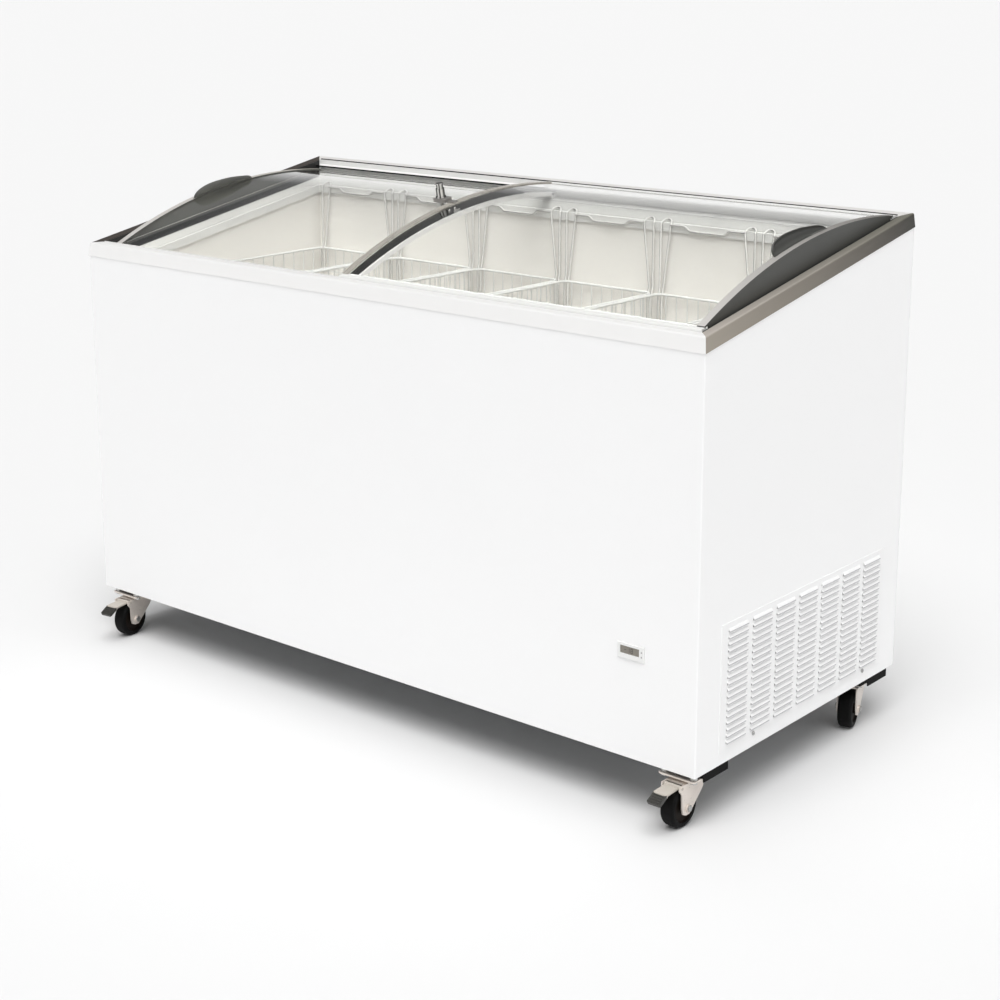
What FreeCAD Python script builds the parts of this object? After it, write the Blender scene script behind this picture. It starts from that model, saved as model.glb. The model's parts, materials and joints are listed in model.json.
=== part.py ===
import FreeCAD, Part
import math
import os

"""Display chest freezer with two sliding curved-glass lids, on four swivel casters.

Units are millimetres. X runs along the front, to the right; Y to the back; Z up from the floor.
Everything is built about the cabinet's own centre line, and save() moves it so that the origin
is the centre of the whole footprint, brake pedals included.
"""

Vector = FreeCAD.Vector
os.makedirs("parts", exist_ok=True)

# ---- driving dimensions -------------------------------------------------------------------
LENGTH = 1555.0            # cabinet along X
DEPTH = 684.0              # cabinet along Y
UNDERSIDE = 100.0          # cabinet underside above the floor
FRONT_TOP = 858.0          # top frame's outer edge at the front
REAR_TOP = 986.0           # the same edge at the rear
SHEET = 1.2                # outer steel
FIT = 0.3                  # gap left between parts that only stand beside each other
RUNNING = 0.06             # play between sliding or turning parts
FOOTPRINT_SHIFT = 28.8     # front brake pedals stand out further than anything at the rear

LINER_X = 726.5            # inner faces of the liner, from the centre line
LINER_Y = 291.0
LINER_FLOOR = 162.0
LINER_SHEET = 1.5
STEP_X = 430.0             # the liner steps up here, over the machine compartment
STEP_TOP = 430.0
ROOM_X = 480.0             # left wall of the machine compartment
ROOM_TOP = 376.0
DRAIN_X = -600.0           # drain in the liner's floor, on the centre line in Y
DRAIN_RADIUS = 16.0
LEAD_HOLE = 9.0            # hole in the rear panel for the mains lead's bushing
LEAD_BORE = 4.2

RAIL_WIDTH = 22.0          # top frame, seen from above
RAIL_FACE = 27.0           # top frame, seen from the side
RAIL_OVERHANG = 1.5
TRACK_WALL = 22.3          # outer face of the tracks, in from the cabinet's face
UPPER_LEDGE = -11.0        # track ledges, measured from the sloping top plane
LOWER_LEDGE = -33.0
LID_DROP = 22.0            # the lower lid runs this far below the upper one

LID_HALF_SPAN = 316.0      # lid's reach in Y, each way
LID_RISE = 47.0            # crown of the lid over its chord, measured upright
GLASS = 4.0
FLANGE = 2.0               # end flanges lie on the glass
LID_END = 752.0            # outer face of a gable
LID_INNER_END = -65.0      # upper lid's other end
LOWER_INNER_END = -44.0    # lower lid's other end, just under the upper lid

BASKETS = 6
BASKET_PITCH = 240.0
BASKET_HALF_X = 114.0
BASKET_HALF_Y = 280.0
BASKET_RIM = 783.0
BASKET_DEPTH = 220.0

CASTER_X = 737.0
CASTER_FRONT_Y = -302.0
CASTER_REAR_Y = 258.0
WHEEL_RADIUS = 37.5
WHEEL_WIDTH = 28.0
TRAIL = 28.0               # axle behind the swivel's axis
CASTERS = {                # name: (x, y, how far it is swivelled at rest, has a brake)
    "front_right": (CASTER_X, CASTER_FRONT_Y, 0.0, True),
    "front_left": (-716.5, -303.0, 8.0, True),
    "rear_right": (CASTER_X, CASTER_REAR_Y, 17.0, False),
    "rear_left": (-CASTER_X, CASTER_REAR_Y, -14.0, False),
}

# ---- derived ------------------------------------------------------------------------------
HALF_L = LENGTH / 2
HALF_D = DEPTH / 2
SLOPE = (REAR_TOP - FRONT_TOP) / DEPTH
MID_TOP = (REAR_TOP + FRONT_TOP) / 2
TILT = math.degrees(math.atan(SLOPE))
HALF_CHORD = LID_HALF_SPAN / math.cos(math.radians(TILT))
SAGITTA = LID_RISE * math.cos(math.radians(TILT))
LID_RADIUS = (HALF_CHORD**2 + SAGITTA**2) / (2 * SAGITTA)


# ---- helpers ------------------------------------------------------------------------------
def box(x0, x1, y0, y1, z0, z1):
    return Part.makeBox(x1 - x0, y1 - y0, z1 - z0, Vector(x0, y0, z0))


def cylinder(start, direction, radius, length):
    return Part.makeCylinder(radius, length, Vector(*start), Vector(*direction))


def face(points):
    corners = [Vector(*p) for p in points]
    return Part.Face(Part.makePolygon(corners + corners[:1]))


def fused(shapes):
    whole = shapes[0].fuse(shapes[1:]) if len(shapes) > 1 else shapes[0]
    return whole.removeSplitter()


def save(node, *shapes):
    """Writes one node; several shapes stay separate solids of it."""
    solids = [s for shape in shapes for s in shape.Solids]
    out = Part.makeCompound(solids) if len(solids) > 1 else solids[0].copy()
    out.translate(Vector(0, FOOTPRINT_SHIFT, 0))
    out.exportStep(f"parts/{node}.step")
    bad = [s for s in solids if not s.isValid()]
    note = "  NOT VALID" if bad else ""
    print(f"{node}: {len(solids)} solids, {sum(s.Volume for s in solids) / 1000:.1f} cm3{note}")


def top_z(y, h=0.0):
    """Height of the sloping top plane, plus h."""
    return MID_TOP + SLOPE * y + h


def below_top(shape, h):
    """Cuts away what stands above the top plane moved by h."""
    reach = 900.0
    side = face([(-reach, y, z) for y, z in (
        (-reach, top_z(-reach, h)), (reach, top_z(reach, h)), (reach, 3000), (-reach, 3000))])
    return shape.cut(side.extrude(Vector(2 * reach, 0, 0)))


def mitre_zone(side):
    """The quarter of the top frame that belongs to one side, bounded by 45 degree planes."""
    a, b = HALF_L + 20, HALF_D + 20
    inner = 130.0
    outer = {
        "front": [(-a, -b), (a, -b), (a - inner, -b + inner), (-a + inner, -b + inner)],
        "rear": [(-a, b), (a, b), (a - inner, b - inner), (-a + inner, b - inner)],
        "right": [(a, -b), (a, b), (a - inner, b - inner), (a - inner, -b + inner)],
        "left": [(-a, -b), (-a, b), (-a + inner, b - inner), (-a + inner, -b + inner)],
    }[side]
    return face([(x, y, 400) for x, y in outer]).extrude(Vector(0, 0, 1000))


def frame_bar(profile, side):
    """A bar of the top frame. The profile's points are (inwards from the cabinet's face,
    up from the top plane), so bars on all four sides meet at their mitres."""
    out = 30.0
    if side in ("front", "rear"):
        way = -1 if side == "front" else 1
        ys = [(way * (HALF_D - d), h) for d, h in profile]
        section = face([(-HALF_L - out, y, top_z(y, h)) for y, h in ys])
        bar = section.extrude(Vector(LENGTH + 2 * out, 0, 0))
    else:
        way = -1 if side == "left" else 1
        y0 = -HALF_D - out
        section = face([(way * (HALF_L - d), y0, top_z(y0, h)) for d, h in profile])
        run = DEPTH + 2 * out
        bar = section.extrude(Vector(0, run, SLOPE * run))
    return bar.common(mitre_zone(side))


def rounded(a, corner, b, radius, steps=5):
    """Points of an arc that rounds a corner between a and b, all in the profile's plane."""
    def toward(p):
        length = math.hypot(p[0] - corner[0], p[1] - corner[1])
        return (corner[0] + (p[0] - corner[0]) * radius / length,
                corner[1] + (p[1] - corner[1]) * radius / length)
    start, end = toward(a), toward(b)
    points = []
    for i in range(steps + 1):
        t = i / steps
        points.append(tuple(
            (1 - t) ** 2 * s + 2 * t * (1 - t) * c + t**2 * e
            for s, c, e in zip(start, corner, end)))
    return points


def lid_place(u, n, drop=0.0):
    """(y, z) of a point u along the lid's chord and n above it."""
    a = math.radians(TILT)
    y = u * math.cos(a) - n * math.sin(a)
    z = MID_TOP + u * math.sin(a) + n * math.cos(a)
    return y, z - drop


def lid_arc(u, depth):
    """Height over the chord of the surface that lies depth below the lid's top."""
    radius = LID_RADIUS - depth
    return math.sqrt(radius**2 - u**2) - (LID_RADIUS - SAGITTA)


def curved_sheet(x0, x1, top, bottom, reach, drop, back=None):
    """A curved sheet between two depths below the lid's top surface, from -reach to back."""
    back = reach if back is None else back
    mid = (back - reach) / 2

    def point(u, depth):
        y, z = lid_place(u, lid_arc(u, depth), drop)
        return Vector(x0, y, z)
    outer = Part.Arc(point(-reach, top), point(mid, top), point(back, top)).toShape()
    inner = Part.Arc(point(back, bottom), point(mid, bottom), point(-reach, bottom)).toShape()
    ends = [Part.LineSegment(point(back, top), point(back, bottom)).toShape(),
            Part.LineSegment(point(-reach, bottom), point(-reach, top)).toShape()]
    wire = Part.Wire([outer, ends[0], inner, ends[1]])
    return Part.Face(wire).extrude(Vector(x1 - x0, 0, 0))


def mirror_x(shape):
    return shape.mirror(Vector(0, 0, 0), Vector(1, 0, 0))


def tilted(shape, place):
    """Puts a shape built about the origin, with its Z square to the lid, at place."""
    out = shape.copy()
    out.rotate(Vector(0, 0, 0), Vector(1, 0, 0), TILT)
    out.translate(Vector(*place))
    return out


def wire_tube(points, radius, bend):
    """A round bar along points, with its corners bent to a radius."""
    path, at = [], Vector(*points[0])
    for before, corner, after in zip(points, points[1:], points[2:]):
        before, corner, after = Vector(*before), Vector(*corner), Vector(*after)
        to_a, to_b = (before - corner).normalize(), (after - corner).normalize()
        half = to_a.getAngle(to_b) / 2
        back_off = bend / math.tan(half)
        start, end = corner + to_a * back_off, corner + to_b * back_off
        centre = corner + (to_a + to_b).normalize() * (bend / math.sin(half))
        middle = centre + (corner - centre).normalize() * bend
        path += [Part.LineSegment(at, start).toShape(), Part.Arc(start, middle, end).toShape()]
        at = end
    path.append(Part.LineSegment(at, Vector(*points[-1])).toShape())
    run = Vector(*points[1]) - Vector(*points[0])
    ring = Part.Wire(Part.makeCircle(radius, Vector(*points[0]), run))
    return Part.Wire(path).makePipeShell([ring], True, False)


# ---- cabinet ------------------------------------------------------------------------------
GRILLE_Y = (-272.0, 284.0)
GRILLE_Z = (UNDERSIDE + 20.0, UNDERSIDE + 253.0)
METER_X = (614.0, 670.0)
METER_Z = (UNDERSIDE + 180.0, UNDERSIDE + 208.0)
CORD_AT = (690.0, UNDERSIDE + 60.0)
TOP_OF_WALLS = -RAIL_FACE - FIT
VENTS = 9                  # slots low in the rear panel, behind the machine
VENT_X = (540.0, 650.0)
VENT_FIRST_Z = UNDERSIDE + 50.0
VENT_PITCH = 14.0
VENT_TALL = 5.0


def outer_shell():
    outer = box(-HALF_L, HALF_L, -HALF_D, HALF_D - SHEET - FIT, UNDERSIDE, 1100)
    inner = box(-HALF_L + SHEET, HALF_L - SHEET, -HALF_D + SHEET, HALF_D, 0, 1200)
    front = [e for e in outer.Edges if abs(e.CenterOfMass.y + HALF_D) < 1 and e.Length > 900]
    outer = outer.makeFillet(3.0, [e for e in front if abs(abs(e.CenterOfMass.x) - HALF_L) < 1])
    front = [e for e in inner.Edges if e.CenterOfMass.y < 1 - HALF_D + SHEET and e.Length > 900]
    inner = inner.makeFillet(3.0 - SHEET, [e for e in front if abs(e.CenterOfMass.x) > 700])
    shell = below_top(outer.cut(inner), TOP_OF_WALLS)
    lap = 10.0
    shell = shell.cut(box(HALF_L - 5, HALF_L + 5, GRILLE_Y[0] + lap, GRILLE_Y[1] - lap,
                          GRILLE_Z[0] + lap, GRILLE_Z[1] - lap))
    return shell.cut(meter_body(0.2))


def rear_panel():
    panel = box(-HALF_L, HALF_L, HALF_D - SHEET, HALF_D, UNDERSIDE, 1100)
    panel = below_top(panel, TOP_OF_WALLS)
    x, z = CORD_AT
    panel = panel.cut(cylinder((x, HALF_D - 40, z), (0, 1, 0), LEAD_HOLE, 60))
    lows = [VENT_FIRST_Z + k * VENT_PITCH for k in range(VENTS)]
    slots = [box(*VENT_X, HALF_D - 10, HALF_D + 10, low, low + VENT_TALL) for low in lows]
    return panel.cut(Part.makeCompound(slots))


def base_pan():
    side, lip = SHEET + FIT, 16.0
    x, y0, y1 = HALF_L - side, -HALF_D + side, HALF_D - SHEET - 2 * FIT
    pan = box(-x, x, y0, y1, UNDERSIDE, UNDERSIDE + lip)
    pan = pan.cut(box(-x + SHEET, x - SHEET, y0 + SHEET, y1 - SHEET,
                      UNDERSIDE + 1.5, UNDERSIDE + 2 * lip))
    return pan.cut(Part.makeCompound(bolt_holes(BOLT_HOLE)))


def liner_body(grow):
    """The liner's inside as a solid, or its outside when it is grown by the sheet."""
    x, z = LINER_X + grow, LINER_FLOOR - grow
    step = STEP_X + grow
    section = face([(-x, 0, z), (step, 0, z), (step, 0, STEP_TOP - grow),
                    (x, 0, STEP_TOP - grow), (x, 0, 1100), (-x, 0, 1100)])
    body = section.extrude(Vector(0, 2 * (LINER_Y + grow), 0))
    body.translate(Vector(0, -LINER_Y - grow, 0))
    return body


LINER_TOP = -60.5


def inner_liner():
    liner = below_top(liner_body(LINER_SHEET).cut(liner_body(0)), LINER_TOP)
    return liner.cut(cylinder((DRAIN_X, 0, UNDERSIDE), (0, 0, 1), DRAIN_RADIUS + 0.2, 90))


def drain_plug():
    """A push-in plug in the liner's floor, with a pull ring's post."""
    head = cylinder((DRAIN_X, 0, LINER_FLOOR + FIT), (0, 0, 1), DRAIN_RADIUS + 6, 4)
    stem = cylinder((DRAIN_X, 0, LINER_FLOOR - 8), (0, 0, 1), DRAIN_RADIUS, 8 + FIT)
    post = cylinder((DRAIN_X, 0, LINER_FLOOR + 4), (0, 0, 1), 5, 9)
    return fused([head, stem, post])


def room(grow=0.0):
    """The machine compartment, at the right end under the liner's step."""
    return box(ROOM_X - grow, HALF_L, -HALF_D + SHEET + FIT, HALF_D - SHEET - FIT,
               UNDERSIDE, ROOM_TOP + grow)


def insulation_foam():
    wall = SHEET + FIT
    block = box(-HALF_L + wall, HALF_L - wall, -HALF_D + 3.0, HALF_D - SHEET - 2 * FIT,
                UNDERSIDE + 18, 1100)
    block = below_top(block, LINER_TOP - FIT)
    block = block.cut(liner_body(LINER_SHEET + 0.2)).cut(room())
    block = block.cut(cylinder((DRAIN_X, 0, UNDERSIDE), (0, 0, 1), DRAIN_RADIUS + 0.4, 80))
    return block.cut(meter_body(FIT))


# The collar's channel, behind its lip, takes the basket hooks.
COLLAR = [(2, -30), (4, -7), (19.8, -7), (19.8, -36.5), (43, -36.5), (45, -50), (45, -57.5),
          (51, -57.5), (51, -50.5), (55, -50.5), (55, -68), (52, -68), (52, -60), (2, -60)]
RAIL = (
    [(-RAIL_OVERHANG, -RAIL_FACE)]
    + rounded((-RAIL_OVERHANG, -RAIL_FACE), (1.2, 0.2), (21, -2.2), 4.0)
    + rounded((1.2, 0.2), (RAIL_WIDTH, -2.3), (RAIL_WIDTH, -12), 2.0)
    + [(RAIL_WIDTH, -12), (20.2, -12)]
    + [(20.2, -4.2), (4.6, -2.4), (3.0, -4.6), (0.6, -RAIL_FACE)]
)
SIDE_TRIM = [(TRACK_WALL, -3), (24.3, -3), (24.3, -34), (42, -34), (42, -36), (TRACK_WALL, -36)]
TRACK = [
    (TRACK_WALL, -1.5), (24.3, -1.5), (24.3, UPPER_LEDGE), (36, UPPER_LEDGE),
    (36, UPPER_LEDGE - 2), (24.3, UPPER_LEDGE - 2), (24.3, LOWER_LEDGE),
    (42, LOWER_LEDGE), (42, LOWER_LEDGE - 3), (TRACK_WALL, LOWER_LEDGE - 3),
]


# ---- right-hand grille --------------------------------------------------------------------
COLUMNS = 7
ROWS = 18
SLOT_FIRST_Y = -252.0
COLUMN_PITCH = 76.3
SLOT_LENGTH = 59.0
SLOT_HEIGHT = 5.0
SLOT_FIRST_Z = UNDERSIDE + 33.0
ROW_PITCH = 11.9
HOOD_OUT = 4.2             # how far a hood's lip stands out from the cabinet's side
HOOD_TALL = 7.4            # from its lip up to where it meets the panel
GRILLE_SCREWS = [(GRILLE_Y[0] + 107, GRILLE_Z[0] + 5), (GRILLE_Y[1] - 67, GRILLE_Z[0] + 5)]


def grille_panel():
    """A flat cover with columns of louvres, each a slot under a small raised hood."""
    x = HALF_L
    panel = box(x, x + 1.0, *GRILLE_Y, *GRILLE_Z)
    slots, hoods = [], []
    for c in range(COLUMNS):
        y = SLOT_FIRST_Y + c * COLUMN_PITCH
        for r in range(ROWS):
            z = SLOT_FIRST_Z + r * ROW_PITCH
            slots.append(box(x - 1, x + 3, y, y + SLOT_LENGTH, z, z + SLOT_HEIGHT))
            lip, top = z + 0.6, z + 0.6 + HOOD_TALL
            hood = face([(x + 1.0, y, z + SLOT_HEIGHT), (x + HOOD_OUT - 0.9, y, lip),
                         (x + HOOD_OUT, y, lip), (x + HOOD_OUT - 0.3, y, lip + 2.0),
                         (x + HOOD_OUT - 1.5, y, lip + 4.8), (x + 1.0, y, top)])
            hoods.append(hood.extrude(Vector(0, SLOT_LENGTH, 0)))
    panel = panel.cut(Part.makeCompound(slots))
    panel = panel.fuse(hoods)
    holes = [cylinder((x - 5, y, z), (1, 0, 0), 2.1, 12) for y, z in GRILLE_SCREWS]
    return panel.cut(Part.makeCompound(holes))


def panel_screw(y, z):
    x = HALF_L + 1.0 + 0.05
    head = cylinder((x, y, z), (1, 0, 0), 3.8, 1.8)
    shank = cylinder((x - 0.9, y, z), (1, 0, 0), 1.9, 1.0)
    cross = [box(x + 1.0, x + 3, y - 0.5, y + 0.5, z - 2.2, z + 2.2),
             box(x + 1.0, x + 3, y - 2.2, y + 2.2, z - 0.5, z + 0.5)]
    return fused([head, shank]).cut(Part.makeCompound(cross))


# ---- thermometer --------------------------------------------------------------------------
METER_DEPTH = 12.0


def meter_body(grow):
    """The thermometer's body behind its face, or its pocket when grown."""
    return box(METER_X[0] + 3 - grow, METER_X[1] - 3 + grow, -HALF_D - 1,
               -HALF_D + METER_DEPTH + grow, METER_Z[0] + 3 - grow, METER_Z[1] - 3 + grow)


DISPLAY_X = (METER_X[0] + 6, METER_X[1] - 10)
DISPLAY_Z = (METER_Z[0] + 9, METER_Z[1] - 5)


def thermometer_bezel():
    y = -HALF_D - FIT
    plate = box(*METER_X, y - 2.6, y, *METER_Z)
    edges = [e for e in plate.Edges if abs(e.CenterOfMass.y - (y - 2.6)) < 0.1]
    plate = plate.makeFillet(1.2, edges)
    body = box(METER_X[0] + 3, METER_X[1] - 3, y - 0.5, y + METER_DEPTH,
               METER_Z[0] + 3, METER_Z[1] - 3)
    whole = fused([plate, body])
    return whole.cut(box(*DISPLAY_X, y - 5, y + 3, *DISPLAY_Z))


def thermometer_display():
    y = -HALF_D - FIT
    gap = 0.15
    return box(DISPLAY_X[0] + gap, DISPLAY_X[1] - gap, y - 1.6, y + 2.5,
               DISPLAY_Z[0] + gap, DISPLAY_Z[1] - gap)


# ---- machine compartment ------------------------------------------------------------------
COMPRESSOR_AT = (600.0, 150.0)
FAN_X = 705.0
FAN_AT = (-125.0, UNDERSIDE + 125.0)
FAN_RADIUS = 86.0
FAN_SHAFT = 3.0            # its radius
BLADES = 5
ON_PAN = UNDERSIDE + 1.6


def compressor():
    x, y = COMPRESSOR_AT
    can = cylinder((x, y, UNDERSIDE + 22), (0, 0, 1), 76, 150)
    can = can.makeFillet(34, [e for e in can.Edges if len(e.Vertexes) == 1])
    seam = cylinder((x, y, UNDERSIDE + 92), (0, 0, 1), 79, 5)
    foot = box(x - 95, x + 95, y - 62, y + 62, UNDERSIDE + 15, UNDERSIDE + 18)
    post = cylinder((x, y, UNDERSIDE + 17), (0, 0, 1), 40, 12)
    stub = cylinder((x - 30, y - 40, UNDERSIDE + 150), (0, 0, 1), 4, 40)
    return fused([can, seam, foot, post, stub])


def compressor_mounts():
    x, y = COMPRESSOR_AT
    mounts = []
    for dx in (-82, 82):
        for dy in (-50, 50):
            mount = cylinder((x + dx, y + dy, ON_PAN), (0, 0, 1), 12, 13.2)
            mounts.append(mount)
    return mounts


def relay_box():
    x, y = COMPRESSOR_AT
    return box(x - 28, x + 28, y - 130, y - 80, UNDERSIDE + 58, UNDERSIDE + 126)


def condenser_coil():
    """A finned block with return bends at both ends."""
    x0, x1, y0, y1 = 738.0, 764.0, -262.0, 6.0
    z0, z1 = ON_PAN, UNDERSIDE + 240
    fins = 24
    pitch = (y1 - y0) / fins
    plates = [box(x0, x1, y0 + k * pitch, y0 + k * pitch + 1.0, z0, z1) for k in range(fins + 1)]
    tubes = [cylinder((x, y0 - 6, z0 + 20 + k * 28), (0, 1, 0), 4, y1 - y0 + 13)
             for k in range(8) for x in (x0 + 7, x1 - 7)]
    return fused(plates + tubes)


def condenser_fan_housing():
    """Shroud ring, three arms and the motor that carries the fan."""
    y, z = FAN_AT
    plate = box(FAN_X - 18, FAN_X + 20, y - 100, y + 100, ON_PAN, z + 100)
    plate = plate.cut(cylinder((FAN_X - 30, y, z), (1, 0, 0), FAN_RADIUS + 6, 80))
    motor = cylinder((FAN_X - 40, y, z), (1, 0, 0), 26, 31)
    arms = []
    for turn in (90, 210, 330):
        arm = box(FAN_X - 18, FAN_X - 14, -5, 5, 20, FAN_RADIUS + 10)
        arm.rotate(Vector(0, 0, 0), Vector(1, 0, 0), turn)
        arm.translate(Vector(0, y, z))
        arms.append(arm)
    shaft = cylinder((FAN_X - 11, y, z), (1, 0, 0), FAN_SHAFT, 19)
    return fused([plate, motor, shaft] + arms)


def fan_blade():
    y, z = FAN_AT
    hub = cylinder((FAN_X - 4, 0, 0), (1, 0, 0), 18, 14)
    blades = []
    for k in range(BLADES):
        blade = box(FAN_X + 1, FAN_X + 3, -21, 21, 14, FAN_RADIUS)
        blade.rotate(Vector(FAN_X + 2, 0, 40), Vector(0, 0, 1), 22)
        blade.rotate(Vector(0, 0, 0), Vector(1, 0, 0), k * 360 / BLADES)
        blades.append(blade)
    fan = fused([hub] + blades).common(cylinder((FAN_X - 25, 0, 0), (1, 0, 0), FAN_RADIUS, 60))
    fan = fan.cut(cylinder((FAN_X - 5, 0, 0), (1, 0, 0), FAN_SHAFT + RUNNING, 13.2))
    fan.translate(Vector(0, y, z))
    return fan


def filter_drier():
    """Copper strainer on the high-pressure line, with its two pipe tails."""
    x, y, z = 530.0, 40.0, UNDERSIDE + 200.0
    can = cylinder((x, y, z), (0, 0.3, -1), 11, 90)
    can = can.makeFillet(6, [e for e in can.Edges if len(e.Vertexes) == 1])
    tail = cylinder((x, y, z - 2), (0, -0.3, 1), 3, 30)
    end = Vector(0, 0.3, -1).normalize() * 88
    foot = cylinder((x, y + end.y, z + end.z), (0, 0.3, -1), 3, 26)
    return fused([can, tail, foot])


def cord_inlet():
    """Rubber bushing in the rear panel, where the mains lead would enter."""
    x, z = CORD_AT
    collar = cylinder((x, HALF_D + FIT, z), (0, 1, 0), 13, 3.5)
    nose = cylinder((x, HALF_D + 3, z), (0, 1, 0), 9, 6)
    nose = nose.makeFillet(2.5, [e for e in nose.Edges
                                 if len(e.Vertexes) == 1 and e.CenterOfMass.y > HALF_D + 8])
    neck = cylinder((x, HALF_D - 5, z), (0, 1, 0), LEAD_HOLE - 0.2, 6)
    whole = fused([collar, nose, neck])
    return whole.cut(cylinder((x, HALF_D - 10, z), (0, 1, 0), LEAD_BORE, 30))


# ---- lids ---------------------------------------------------------------------------------
SLIDER_OUT = HALF_D - 24.8     # slider's outer face in Y
SLIDER_IN = HALF_D - 41.0
GABLE_SHEET = 3.0
FLANGE_WIDTH = 15.0
FLANGE_REACH = HALF_CHORD - 8.8
STRIP_WIDTH = 15.0


def lid_glass(x0, x1, drop):
    reach = HALF_CHORD - 9.0
    return curved_sheet(x0, x1, FLANGE + 0.1, FLANGE + 0.1 + GLASS, reach, drop)


def lid_slider(x0, x1, drop, way):
    """A bar along one edge of the glass that runs in the track, grooved for the glass."""
    ys = (way * SLIDER_IN, way * SLIDER_OUT)
    low, high = UPPER_LEDGE + FIT, 0.4
    section = face([(x0, y, top_z(y, h) - drop) for y, h in (
        (ys[0], low), (ys[1], low), (ys[1], high - 1.5), (ys[1] - way * 1.5, high), (ys[0], high))])
    bar = section.extrude(Vector(x1 - x0, 0, 0))
    groove = curved_sheet(x0 - 5, x1 + 5, FLANGE - 0.1, FLANGE + GLASS + 0.3, FLANGE_REACH, drop)
    return bar.cut(groove)


CRESCENT_REACH = HALF_CHORD - 16.4
SKIRT_REACH = CRESCENT_REACH - 4.0
SKIRT_DEEP = 5.0           # a gable closes the gap beside its side rail this far down


def crescent(x0, x1, depth, drop, reach=CRESCENT_REACH):
    """The flat crescent between the lid's curve and its chord."""
    def point(u):
        y, z = lid_place(u, lid_arc(u, depth), drop)
        return Vector(x0, y, z)

    def foot(u):
        y, z = lid_place(u, 0.0, drop)
        return Vector(x0, y, z)
    edges = [Part.Arc(point(-reach), point(0), point(reach)).toShape(),
             Part.LineSegment(point(reach), foot(reach)).toShape(),
             Part.LineSegment(foot(reach), foot(-reach)).toShape(),
             Part.LineSegment(foot(-reach), point(-reach)).toShape()]
    return Part.Face(Part.Wire(edges)).extrude(Vector(x1 - x0, 0, 0))


def gable(drop):
    """The closed end of a lid, as it stands at the right: a crescent and a flange on the glass."""
    plate = crescent(LID_END - GABLE_SHEET, LID_END, 0.5, drop)
    flange = curved_sheet(LID_END - FLANGE_WIDTH, LID_END, 0, FLANGE, FLANGE_REACH, drop)
    foot = crescent(LID_END - 9.0, LID_END, 0.5, drop).common(
        tilted(box(0, 2000, -400, 400, -1, 2.2), (0, 0, MID_TOP - drop)))
    skirt = tilted(box(LID_END - GABLE_SHEET, LID_END, -SKIRT_REACH, SKIRT_REACH, -SKIRT_DEEP, 1.0),
                   (0, 0, MID_TOP - drop))
    whole = fused([plate, flange, foot, skirt])
    return whole.cut(lid_glass(LID_END - 60, LID_END - GABLE_SHEET + 0.2, drop))


# The handle is a scoop on the flange, hollow on its outer side. Each station is
# (place along the lid, how high it stands, how far it leans inwards).
HANDLE_STATIONS = [
    (-76.0, 0.8, 1.0), (-73.0, 10.0, 6.0), (-66.0, 16.0, 10.5), (-52.0, 20.0, 13.0),
    (-30.0, 21.5, 14.0), (0.0, 20.0, 13.5), (35.0, 16.5, 12.0), (70.0, 11.0, 9.0),
    (88.0, 7.0, 6.0), (98.0, 0.8, 1.0),
]
HANDLE_WALL = 2.4


def handle(drop):
    """Loft of the scoop's upright sections, for the lid whose gable is at the right."""
    root_x = LID_END - FLANGE_WIDTH + 2.0
    sections = []
    for u, tall, lean in HANDLE_STATIONS:
        def point(x, up):
            y, z = lid_place(u, lid_arc(u, 0) + 0.15 + up, drop)
            return Vector(x, y, z)
        wall = HANDLE_WALL
        back = Part.Arc(point(root_x, 0), point(root_x - lean, tall * 0.55),
                        point(root_x - lean * 0.8, tall)).toShape()
        lip = Part.LineSegment(point(root_x - lean * 0.8, tall),
                               point(root_x - lean * 0.8 + wall, tall - 0.3 * wall)).toShape()
        inside = Part.Arc(point(root_x - lean * 0.8 + wall, tall - 0.3 * wall),
                          point(root_x - lean + wall, tall * 0.52),
                          point(root_x + wall, 0)).toShape()
        base = Part.LineSegment(point(root_x + wall, 0), point(root_x, 0)).toShape()
        sections.append(Part.Wire([back, lip, inside, base]))
    return Part.makeLoft(sections, True, False)


def edge_strip(x0, x1, drop):
    """The light cap on the lid's other end, with a short turned-down edge."""
    cap = curved_sheet(x0, x1, 0, FLANGE, FLANGE_REACH, drop)
    edge = curved_sheet(x0, x0 + 1.5, 0, FLANGE + GLASS + 2.5, CRESCENT_REACH, drop)
    return fused([cap, edge])


SEAL_FROM, SEAL_TO = FLANGE + GLASS + 0.6, LID_DROP - 0.8
SEAL_CLEAR = 0.6           # gap under the seal, over the lower lid
SEAL_END_TOP = 178.0       # where its slanted rear end starts and finishes, along the lid
SEAL_END_LOW = 223.0


def lid_seal():
    """The dark skirt under the upper lid's inner end, which closes the step between the lids.
    Its rear end is slanted, and a notch lets the lock's keeper pass under it."""
    x0, x1 = LID_INNER_END + STRIP_WIDTH - 1.0, LID_INNER_END + STRIP_WIDTH + 2.0
    skirt = curved_sheet(x0, x1, SEAL_FROM, SEAL_TO, CRESCENT_REACH, 0)
    top = lid_place(SEAL_END_TOP, lid_arc(SEAL_END_TOP, SEAL_FROM) + 1)
    low = lid_place(SEAL_END_LOW, lid_arc(SEAL_END_LOW, SEAL_TO) - 1)
    beyond = [top, low, (400, low[1] - 80), (400, top[1] + 150)]
    end = face([(x0 - 1, y, z) for y, z in beyond]).extrude(Vector(x1 - x0 + 2, 0, 0))
    below = curved_sheet(x0 - 1, x1 + 1, -SEAL_CLEAR, 60, HALF_CHORD - 1.0, LID_DROP)
    notch = box(x0 - 1, x1 + 1, -KEEPER_HALF_Y - 2.5, KEEPER_HALF_Y + 2.5,
                keeper_foot() - 4, keeper_foot() + KEEPER_TALL + 1.2)
    return skirt.cut(end).cut(below).cut(tilted(notch, (0, *lock_place()[1:])))


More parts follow.
